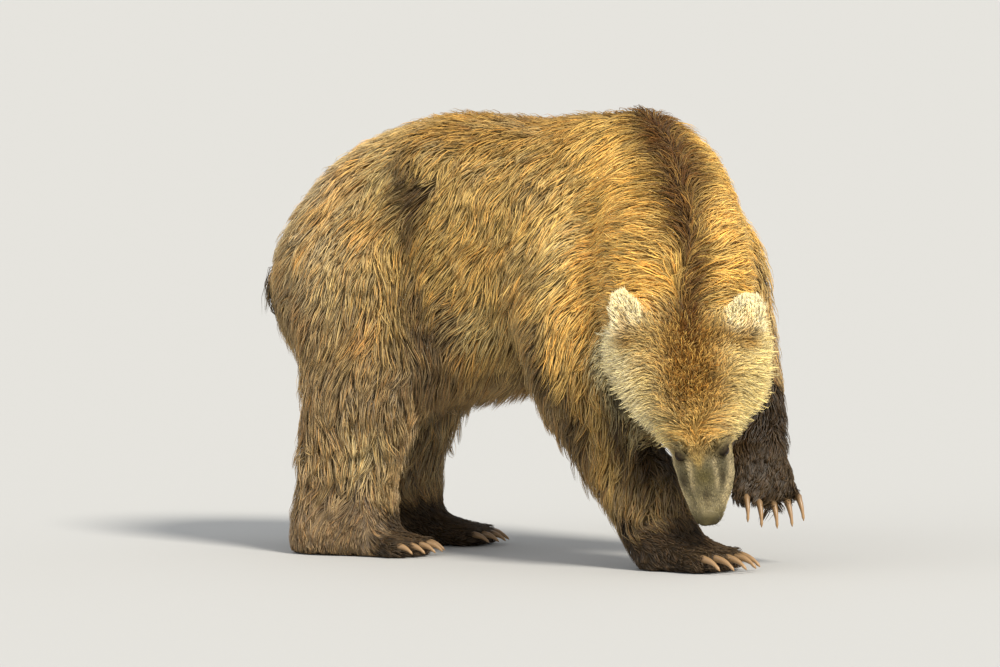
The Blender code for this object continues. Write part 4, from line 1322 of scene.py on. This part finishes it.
def gathered(spine):
    """Spines drawn to their guides' spines, more towards the tip."""
    guides = CHANCE.choice(len(spine), len(spine) // LOCKS_TO_A_GUIDE, replace=False)
    tree = KDTree(len(guides))
    for k, g in enumerate(guides.tolist()):
        tree.insert(ROOTS[g].tolist(), k)
    tree.balance()
    mine = guides[np.array([tree.find(p)[1] for p in ROOTS.tolist()])]
    pull = np.clip(GATHER[ROOT_NEAR], 0, 0.9)[:, None, None] * (np.array(STEPS) ** 1.6)[None, :, None]
    close = np.linalg.norm(ROOTS - ROOTS[mine], axis=1) < GUIDE_REACH
    return spine + (spine[mine] - spine) * pull * close[:, None, None]


SPINES, SPINE_NORMALS = combed()
SPINES = gathered(SPINES)
SPINES[:, :, 2] = np.maximum(SPINES[:, :, 2], 0.003)
print("spines", SPINES.shape, "lowest", SPINES[..., 2].min().round(4))

# %% [markdown]
# ## A colour for each lock
#
# No two locks of a grizzly are quite alike. Each takes the marking at its root, and then chance turns
# a few: some on crown and parting are bleached to gold, some all over are muddy, and some are warmer.

# %% Colour the locks
WARMER = np.array([1.12, 0.95, 0.78])


def chosen_by_chance(share, where):
    """1 for a share of the locks, held back by a value from 0 to 1 at the points."""
    return (CHANCE.random(len(ROOTS)) > 1 - share) * where[ROOT_NEAR]


def lock_colours():
    """The colour of each lock."""
    mixed = np.clip(0.8 * ON_CROWN + 0.7 * PARTED * bump(LINE_GAP, 0.10), 0, 1) * (1 - ON_MUZZLE)
    bleached = chosen_by_chance(0.30, mixed * (1 - 0.75 * bump(LINE_GAP, 0.034) * PARTED))
    colour = lay(MARKS[ROOT_NEAR], GOLD, 0.60 * bleached)
    colour = lay(colour, MUD_AND_SHADE, 0.45 * chosen_by_chance(0.20, 1 - ON_MUZZLE - ON_EAR))
    warm = chosen_by_chance(0.22, 1 - np.clip(ON_MUZZLE + ON_EAR + CHEEK, 0, 1))
    return lay(colour, colour * WARMER, warm)


LOCK_COLOUR = lock_colours()
print("mean lock colour", LOCK_COLOUR.mean(0).round(3))

# %% [markdown]
# ## From a spine to a solid lock
#
# Each lock is a thin three-sided blade: a flat underside, a ridge on top, and three rings of corners
# that narrow to one point. That is fifteen triangles, or nine for the short hair of head and feet.
# All corners are worked out at once in arrays, because a hundred thousand small objects would take
# minutes.

# %% Build the locks
ROOT_PATCH = 0.003
KEPT_STEPS = {3: [0, 1, 2, 3], 2: [0, 2, 3]}
TAPERS = {3: (1.0, 0.86, 0.52), 2: (1.0, 0.70)}


def blade_faces(rings):
    """Corner numbers of one blade with this many rings: four-sided faces, then the three at the tip."""
    sides = [[3 * r + a, 3 * r + b, 3 * r + 3 + b, 3 * r + 3 + a]
             for r in range(rings - 1) for a, b in ((0, 1), (1, 2), (2, 0))]
    last = 3 * rings - 3
    return sides, [[last + a, last + b, 3 * rings] for a, b in ((0, 1), (1, 2), (2, 0))]


def blade_points(chosen, rings):
    """The corners of the chosen locks: rings of three round each spine, and its tip."""
    keep = KEPT_STEPS[rings]
    spine, normal = SPINES[chosen][:, keep], SPINE_NORMALS[chosen][:, keep]
    way = unit(np.gradient(spine, axis=1))
    aside = unit(np.cross(normal, way))
    above = np.cross(way, aside)
    wide = WIDTH[ROOT_NEAR[chosen]] * CHANCE.uniform(0.65, 1.30, len(chosen))
    wide = wide[:, None] * np.array(TAPERS[rings])
    ring = np.stack([spine[:, :rings] - aside[:, :rings] * wide[:, :, None] / 2,
                     spine[:, :rings] + above[:, :rings] * wide[:, :, None] * 0.45,
                     spine[:, :rings] + aside[:, :rings] * wide[:, :, None] / 2], 2)
    return np.concatenate([ring.reshape(len(chosen), -1, 3), spine[:, -1:]], 1).reshape(-1, 3)


def blade_mesh(name, points, count, rings):
    """All blades as one mesh, filled from arrays, and the corner that each face's corner uses."""
    squares, ends = blade_faces(rings)
    corners = np.concatenate([np.ravel(squares), np.ravel(ends)])
    loops = ((np.arange(count) * (3 * rings + 1))[:, None] + corners).ravel().astype(np.int32)
    sizes = np.tile([4] * len(squares) + [3] * len(ends), count)
    starts = np.concatenate([[0], np.cumsum(sizes)[:-1]]).astype(np.int32)
    mesh = bpy.data.meshes.new(name)
    mesh.vertices.add(len(points))
    mesh.vertices.foreach_set("co", points.astype(np.float32).ravel())
    mesh.loops.add(len(loops))
    mesh.loops.foreach_set("vertex_index", loops)
    mesh.polygons.add(len(sizes))
    mesh.polygons.foreach_set("loop_start", starts)
    mesh.update(calc_edges=True)
    mesh.shade_smooth()
    return mesh, loops


def blades(name, chosen, rings):
    """One coat piece made of the chosen locks."""
    count, size = len(chosen), 3 * rings + 1
    mesh, loops = blade_mesh(name, blade_points(chosen, rings), count, rings)
    steps = np.array(STEPS)[KEPT_STEPS[rings]]
    along = np.concatenate([np.repeat(steps[:rings], 3), [1.0]])
    lock = np.stack([np.tile(along, count), np.repeat(CHANCE.random(count), size),
                     np.repeat(np.clip(WET[ROOT_NEAR[chosen]], 0, 1), size)], 1)
    give(mesh, "marking", "FLOAT_COLOR", four(np.repeat(LOCK_COLOUR[chosen], size, 0)))
    give(mesh, "lock", "FLOAT_VECTOR", lock)
    across = np.concatenate([np.tile([0.0, 0.5, 1.0], rings), [0.5]])
    patch = (np.stack([across, along], 1) - 0.5) * ROOT_PATCH
    flat = (ROOT_FLAT[chosen][:, None] + patch[None]).reshape(-1, 2)
    layer = mesh.uv_layers.new(name="OFBake")
    layer.data.foreach_set("uv", flat[loops].astype(np.float32).ravel())
    mesh.materials.append(wet_finish if name.startswith(("coat_legs", "coat_feet")) else coat_finish)
    obj = bpy.data.objects.new(name, mesh)
    bpy.context.scene.collection.objects.link(obj)
    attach(obj, "root")


print("corners of a long lock", 3 * 3 + 1, "and of a short one", 3 * 2 + 1)

# %% [markdown]
# ## The coat in pieces
#
# A piece of more than two hundred thousand triangles would be thinned when it is exported. The coat
# is dealt out by parts of the body, and a part with too many locks is halved along its longest side
# until each half has at most 195 thousand triangles.

# %% Deal the coat out in pieces
MOST_TRIANGLES = 195000
GROUPS = (("coat_ears", ("ear_",), 2), ("coat_face", ("nose", "lower_jaw"), 2),
          ("coat_head", ("head",), 2), ("coat_neck", ("neck",), 3), ("coat_feet", ("paw", "foot"), 2),
          ("coat_tail", ("tail",), 3),
          ("coat_legs", ("shank", "forearm", "upper_arm", "thigh"), 3), ("coat_barrel", ("trunk",), 3))


def halves(chosen, limit):
    """The chosen locks, halved along their longest side until no share is over the limit."""
    if len(chosen) <= limit:
        return [chosen]
    span = ROOTS[chosen].max(0) - ROOTS[chosen].min(0)
    order = chosen[np.argsort(ROOTS[chosen][:, span.argmax()], kind="stable")]
    cut = len(order) // 2
    return halves(order[:cut], limit) + halves(order[cut:], limit)


def grow_coat():
    """Builds the coat group by group. Each lock goes to the first group that its part's name fits."""
    left = np.ones(len(ROOTS), bool)
    names = PARTS[ROOT_NEAR]
    for name, words, rings in GROUPS:
        mine = left & np.array([any(w in n for w in words) for n in names])
        left &= ~mine
        each = 6 * (rings - 1) + 3
        chunks = halves(np.flatnonzero(mine), MOST_TRIANGLES // each)
        for k, chosen in enumerate(chunks):
            tag = name if len(chunks) == 1 else f"{name}_{k + 1}"
            blades(tag, chosen, rings)
            print(tag, len(chosen), "locks", len(chosen) * each, "triangles")


grow_coat()

# %% [markdown]
# ## The eyes
#
# A grizzly's eyes are small, dark brown and wet, and they sit deep beside the bridge of the nose. Each
# is a smooth ball in the place of its solid, with a low bulge for the cornea. Its colour follows the
# angle from the middle of the pupil, which is kept at each point of the mesh.

# %% Make the eyes
EYE_SIZE = (Vector(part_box("eye_left")[1]) - Vector(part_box("eye_left")[0])).z / 2
EYE_SINK, CORNEA_SWELL = 0.0032, 0.0011


def gaze_of(side):
    """The way an eye looks: out of the head's surface, and a little ahead and out."""
    near = np.argmin(np.linalg.norm(outer - np.array(EYES[side]), axis=1))
    plain = Vector(outward[near])
    return (plain + HEAD_LEFT * side * 0.45 + MUZZLE_WAY * 0.10).normalized()


def eye_middle(side):
    """The eyeball's middle: the solid's, drawn in with the face, a little deeper in its socket."""
    inward = float(drawn_in(np.array([EYES[side]]))[0])
    return EYES[side] + HEAD_LEFT * inward - gaze_of(side) * EYE_SINK


def step(tree, value, low, high):
    """0 below low, 1 above high and a soft step between, as a node."""
    return node(tree, "ShaderNodeMapRange", {"interpolation_type": "SMOOTHSTEP"},
                {0: value, 1: low, 2: high, 3: 0.0, 4: 1.0})


def wet_eye():
    """The eye's material, by the angle from the pupil: pupil, brown iris and dark rim."""
    made, tree, shader = surface("eye", Roughness=0.05, IOR=1.38, Specular_IOR_Level=0.3)
    angle = attribute(tree, "from_pupil", "Fac")
    iris, rim = step(tree, angle, 0.32, 0.42), step(tree, angle, 0.72, 0.86)
    fleck = noise(tree, node(tree, "ShaderNodeTexCoord", {}, {}, "Object"), 900.0, 2.0)
    brown = mix(tree, fleck, (0.030, 0.014, 0.006, 1), (0.060, 0.030, 0.012, 1))
    ball = mix(tree, iris, (0.003, 0.002, 0.002, 1), brown)
    feed(mix(tree, rim, ball, (0.016, 0.010, 0.008, 1)), shader, "Base Color")
    return made


def build_eye(side, word):
    """One eyeball with its cornea's bulge."""
    form = bmesh.new()
    bmesh.ops.create_uvsphere(form, u_segments=32, v_segments=24, radius=EYE_SIZE)
    turn, centre = gaze_of(side).to_track_quat("Z", "Y").to_matrix(), eye_middle(side)
    turned = []
    for vert in form.verts:
        angle = vert.co.normalized().angle(Vector((0, 0, 1)))
        turned.append(angle)
        swell = CORNEA_SWELL * math.exp(-(angle / 0.75) ** 4)
        vert.co = centre + turn @ (vert.co * (1 + swell / EYE_SIZE))
    mesh = bpy.data.meshes.new("eyeball_" + word)
    form.to_mesh(mesh)
    form.free()
    give(mesh, "from_pupil", "FLOAT", np.array(turned))
    mesh.shade_smooth()
    mesh.materials.append(eye_finish)
    obj = bpy.data.objects.new("eyeball_" + word, mesh)
    bpy.context.scene.collection.objects.link(obj)
    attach(obj, "root")
    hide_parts("eye_" + word)


eye_finish = wet_eye()
for side, word in SIDES:
    build_eye(side, word)
print("eye radius", round(EYE_SIZE, 4))

# %% [markdown]
# ## The lids
#
# The lids frame each eye with a bare dark rim, which fades outwards into the short hair's markings.
# They are made as rings of points round the almond of the opening: the first dips into the eyeball,
# the next form the thick rim, and the last sink under the skin. The rings are joined by four-sided
# faces, as a basket is woven round its hoops.

# %% Make the lids
LID_RINGS = (
    # metres outside the opening, metres over the eyeball
    (-0.0006, -0.0004), (0.0, 0.0009), (0.0010, 0.0016), (0.0026, 0.0019), (0.0048, 0.0018),
    (0.0075, 0.0012), (0.0110, -0.0002), (0.0150, -0.0030),
)
LID_HALF = (0.0098, 0.0052)


def slit_of(side):
    """The way from an eye's inner corner to its outer corner."""
    gaze = gaze_of(side)
    way = -MUZZLE_WAY * 0.62 + HEAD_LEFT * side * 0.70
    return (way - gaze * way.dot(gaze)).normalized()


def lid_mesh(side, turns):
    """The points and faces of the rings round one eye."""
    gaze, slit, centre = gaze_of(side), slit_of(side), eye_middle(side)
    across = gaze.cross(slit)
    points = []
    for outside, over in LID_RINGS:
        for k in range(turns):
            a = math.tau * k / turns
            u = (LID_HALF[0] + outside) * math.cos(a)
            v = (LID_HALF[1] + outside) * math.sin(a) * (1 - 0.35 * abs(math.cos(a)) ** 3)
            ball = math.sqrt(max(EYE_SIZE ** 2 - u * u - v * v, 0.0))
            points.append(centre + slit * u + across * v + gaze * (ball + over))
    faces = []
    for r in range(len(LID_RINGS) - 1):
        for k in range(turns):
            n = (k + 1) % turns
            faces.append([r * turns + k, r * turns + n, (r + 1) * turns + n, (r + 1) * turns + k])
    return points, faces


def faced_out(mesh, way):
    """Turns the faces of an open mesh so that most of them look this way."""
    form = bmesh.new()
    form.from_mesh(mesh)
    bmesh.ops.recalc_face_normals(form, faces=form.faces)
    if sum(f.normal.dot(way) * f.calc_area() for f in form.faces) < 0:
        bmesh.ops.reverse_faces(form, faces=form.faces)
    form.to_mesh(mesh)
    form.free()


def build_lids(side, word, turns=40):
    """One eye's lids, dark at the rim and marked like the face at the edge."""
    points, faces = lid_mesh(side, turns)
    obj = mesh_piece("lids_" + word, points, faces)
    faced_out(obj.data, gaze_of(side))
    obj.data.shade_smooth()
    near = nearest_points(np.array(points))
    share = np.repeat([ramp(outside, 0.0010, 0.0110) for outside, _ in LID_RINGS], turns)[:, None]
    give(obj.data, "marking", "FLOAT_COLOR", four(DARK_SKIN_AND_SHADE * (1 - share) * 0.6 + MARKS[near] * share))
    obj.data.materials.append(skin_finish)
    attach(obj, "root")


for side, word in SIDES:
    build_lids(side, word)
print("lids", len(LID_RINGS), "rings")

# %% [markdown]
# ## The nose
#
# The end of the muzzle is bare, pebbled and moist, with two nostrils shaped like commas. The packed
# solid gives its size. A fine remesh gives it points enough, easing rounds it, and the nostrils are
# pressed in along a short curved path that starts in front and sweeps out to the side.

# %% Make the nose
# The nostril's path: back from the nose's tip, out to the side, and up.
NOSTRIL = ((-0.002, 0.012, 0.008), (0.002, 0.018, 0.013), (0.010, 0.026, 0.012), (0.018, 0.031, 0.008))
NOSTRILS = np.array([[back, side * out, up] for back, out, up in NOSTRIL for side, _ in SIDES])
NOSE_GRAIN, NOSE_SWELL, NOSE_SINK = 0.0022, 0.0010, 0.0024


def nostril_gap(places):
    """How far each place on the head is from the nearest place on a nostril's path."""
    return np.min([np.linalg.norm(places - at, axis=1) for at in NOSTRILS], axis=0)


def damp_leather():
    """The nose's material: pebbled, and painted lighter in places as the sky's reflection on the wet
    leather.
    """
    made, tree, shader = surface("nose_leather", IOR=1.45, Specular_IOR_Level=0.22)
    place = node(tree, "ShaderNodeTexCoord", {}, {}, "Object")
    cells = node(tree, "ShaderNodeTexVoronoi", {"feature": "SMOOTH_F1"},
                 {"Vector": place, "Scale": 330.0})
    grain = noise(tree, place, 60.0, 3.0)
    # Painted reflection: the wet leather takes the muzzle's colour, lighter in places, for the sky it
    # reflects.
    worn = mix(tree, grain, (0.34, 0.335, 0.32, 1), (0.72, 0.70, 0.66, 1))
    feed(mix(tree, 1.0, attribute(tree, "marking", "Color"), worn, "MULTIPLY"), shader, "Base Color")
    feed(grain * 0.30 + 0.32, shader, "Roughness")
    feed(node(tree, "ShaderNodeBump", {}, {"Strength": 0.7, "Distance": 0.0012, "Height": cells}),
         shader, "Normal")
    return made


def build_nose():
    """The nose pad with its nostrils and the groove between them."""
    melt = melted(["nose"], NOSE_GRAIN, NOSE_SWELL)
    for _ in range(6):
        bmesh.ops.smooth_vert(melt, verts=melt.verts, factor=0.5, use_axis_x=True, use_axis_y=True,
                              use_axis_z=True)
    melt.normal_update()
    places = head_places(np.array([v.co for v in melt.verts]))
    press = np.exp(-(nostril_gap(places) / 0.0052) ** 4)
    split = bump(places[:, 1], 0.0018) * (places[:, 2] < 0.012)
    sink = NOSE_SINK + 0.0070 * press + 0.0016 * split
    for vert, depth in zip(melt.verts, sink.tolist()):
        vert.co -= vert.normal * depth
        vert.co += HEAD_LEFT * float(drawn_in(np.array([vert.co]))[0])
    mesh = bpy.data.meshes.new("nose_pad")
    melt.to_mesh(mesh)
    points = np.array([v.co for v in melt.verts])
    melt.free()
    mesh.shade_smooth()
    straight = head_places(points) - drawn_in(points)[:, None] * np.array([0, 1, 0])
    dark = 0.8 * bump(nostril_gap(straight), 0.008)
    give(mesh, "marking", "FLOAT_COLOR", four(lay(MARKS[nearest_points(points)], DARK_SKIN_AND_SHADE, dark)))
    mesh.materials.append(damp_leather())
    obj = bpy.data.objects.new("nose_pad", mesh)
    bpy.context.scene.collection.objects.link(obj)
    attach(obj, "root")
    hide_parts("nose")
    print("nose", len(mesh.vertices), "points")


build_nose()

# %% [markdown]
# ## Bristles on lips, chin and brows
#
# A bear has no long whiskers, only stiff dark bristles on lips and chin and over the eyes. They
# repeat and follow a surface, which is work for Geometry Nodes: points are scattered on the skin where
# a mask lets them grow, a thin cone stands on each and leans back along the lie of the hair, and the
# copies are made real at the end, because an export drops instances.

# %% Scatter the bristles
BRISTLE_SOCKETS = {"Skin": "Geometry", "Per square metre": "Float", "Length": "Float",
                   "Thickness": "Float", "Seed": "Int", "Finish": "Material"}
BRISTLE_VALUES = {"Per square metre": 15000.0, "Length": 0.014, "Thickness": 0.0004, "Seed": 7}


def stiff_hair():
    """The bristles' material."""
    made, tree, shader = surface("bristle", IOR=1.5, Specular_IOR_Level=0.3)
    tint = noise(tree, node(tree, "ShaderNodeTexCoord", {}, {}, "Object"), 260.0, 1.0)
    feed(mix(tree, tint, (0.012, 0.009, 0.006, 1), (0.085, 0.060, 0.034, 1)), shader, "Base Color")
    feed(tint * 0.3 + 0.4, shader, "Roughness")
    return made


def bristle_tree():
    """The Geometry Nodes that scatter the bristles."""
    tree = bpy.data.node_groups.new("bristles", "GeometryNodeTree")
    for name, kind in BRISTLE_SOCKETS.items():
        tree.interface.new_socket(name, in_out="INPUT", socket_type="NodeSocket" + kind)
    tree.interface.new_socket("Bristles", in_out="OUTPUT", socket_type="NodeSocketGeometry")
    given = tree.nodes.new("NodeGroupInput").outputs
    take = {name: Wire(tree, given[name]) for name in BRISTLE_SOCKETS}
    grows = node(tree, "GeometryNodeInputNamedAttribute", {"data_type": "FLOAT"}, {"Name": "grows"})
    lie = node(tree, "GeometryNodeInputNamedAttribute", {"data_type": "FLOAT_VECTOR"}, {"Name": "lie"})
    roots = node(tree, "GeometryNodeDistributePointsOnFaces", {"distribute_method": "RANDOM"},
                 {"Mesh": take["Skin"], "Density": grows * take["Per square metre"],
                  "Seed": take["Seed"]})
    normal = Wire(tree, roots.socket.node.outputs["Normal"])
    lean = node(tree, "ShaderNodeVectorMath", {"operation": "ADD"}, {0: normal, 1: lie})
    turn = node(tree, "FunctionNodeAlignRotationToVector", {"axis": "Z"}, {"Vector": lean})
    cone = node(tree, "GeometryNodeMeshCone", {}, {"Vertices": 4, "Radius Top": 0.0,
                "Radius Bottom": take["Thickness"], "Depth": take["Length"]})
    size = node(tree, "FunctionNodeRandomValue", {"data_type": "FLOAT"},
                {2: 0.5, 3: 1.2, "Seed": take["Seed"]}, 1)
    copies = node(tree, "GeometryNodeInstanceOnPoints", {}, {"Points": roots, "Instance": cone,
                  "Rotation": turn, "Scale": size})
    real = node(tree, "GeometryNodeRealizeInstances", {}, {"Geometry": copies})
    done = node(tree, "GeometryNodeSetMaterial", {}, {"Geometry": real, "Material": take["Finish"]})
    tree.links.new(done.socket, tree.nodes.new("NodeGroupOutput").inputs["Bristles"])
    return tree


def bristle_field():
    """Where bristles grow, 0 to 1: along the lips, on the chin, and in a spot over each eye."""
    lips = bump(mouth_gap(outer) - 0.012, 0.009) * ramp(-BACK, -0.13, -0.10)
    chin = is_part("lower_jaw") * ramp(-BACK, -0.070, -0.040)
    field = np.maximum(lips, 0.6 * chin) * (ON_HEAD > 0)
    places = np.stack([BACK, LEFT, TOP], 1)
    for side, _ in SIDES:
        field = np.maximum(field, spot(places, EYE_PLACES[side] + (0.022, 0.0, 0.010), 0.011))
    return field


def build_bristles():
    """The bristles as one piece of solid mesh."""
    field = bristle_field()
    used = [f for f in body_faces if field[f].max() > 0.05]
    obj = mesh_piece("bristles", skin.tolist(), used)
    give(obj.data, "grows", "FLOAT", field)
    give(obj.data, "lie", "FLOAT_VECTOR", LIE)
    values = {**BRISTLE_VALUES, "Finish": stiff_hair()}
    modifier = obj.modifiers.new("bristles", "NODES")
    modifier.node_group = bristle_tree()
    for item in modifier.node_group.interface.items_tree:
        if item.in_out == "INPUT" and item.name in values:
            modifier[item.identifier] = values[item.name]
    graph = bpy.context.evaluated_depsgraph_get()
    grown = bpy.data.meshes.new_from_object(obj.evaluated_get(graph))
    obj.modifiers.remove(modifier)
    obj.data = grown
    grown.name = "bristles"
    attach(obj, "root")
    print("bristles", len(grown.polygons) // 5, "of", len(grown.polygons), "faces")


build_bristles()

# %% [markdown]
# ## The claws
#
# A grizzly's fore claws are as long as a finger, hardly curved, and worn pale at the tip. The solids
# have the right shape but few sides. A merged copy is smoothed by subdivision, and each point keeps
# how far it lies from root to tip, which drives the horn's colour. A fine grain breaks it up.

# %% Make the claws
def horn():
    """The claws' material, dark at the root and pale at the tip."""
    made, tree, shader = surface("claw_horn", IOR=1.54)
    along = attribute(tree, "to_tip", "Fac")
    place = node(tree, "ShaderNodeTexCoord", {}, {}, "Object")
    grain = noise(tree, place, 700.0, 2.0)
    worn = noise(tree, place, 120.0, 3.0)
    base = mix(tree, along ** 0.8, (0.070, 0.038, 0.018, 1), (0.40, 0.22, 0.085, 1))
    pale = mix(tree, grain * 0.6, base, (0.50, 0.33, 0.16, 1))
    feed(mix(tree, worn * 0.45, pale, (0.16, 0.09, 0.045, 1)), shader, "Base Color")
    feed(worn * 0.25 + 0.28, shader, "Roughness")
    feed(node(tree, "ShaderNodeBump", {}, {"Strength": 0.25, "Distance": 0.0005, "Height": grain}),
         shader, "Normal")
    return made


def build_claws(limb, paw):
    """The five claws of one foot as one piece."""
    middle_of_paw = middle(paw)
    points, faces, to_tip = [], [], []
    for k in range(1, 6):
        form = welded(f"claw_{limb}_{k}")
        bmesh.ops.subdivide_edges(form, edges=form.edges, cuts=1, use_grid_fill=True, smooth=0.6)
        tip = max((v.co for v in form.verts), key=lambda c: (c - middle_of_paw).length)
        reach = max((v.co - tip).length for v in form.verts)
        start = len(points)
        for vert in form.verts:
            to_tip.append(1 - (vert.co - tip).length / reach)
            points.append(vert.co.copy())
        faces += [[start + v.index for v in f.verts] for f in form.faces]
        form.free()
    obj = mesh_piece("claws_" + limb, points, faces)
    give(obj.data, "to_tip", "FLOAT", np.array(to_tip))
    obj.data.shade_smooth()
    obj.data.materials.append(horn_finish)
    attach(obj, "root")
    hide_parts(*[f"claw_{limb}_{k}" for k in range(1, 6)])
    print(obj.name, len(faces), "faces")


horn_finish = horn()
for limb, paw in (("fore_right", "fore_right_paw"), ("fore_left", "fore_left_paw"),
                  ("hind_right", "hind_right_foot"), ("hind_left", "hind_left_foot")):
    build_claws(limb, paw)
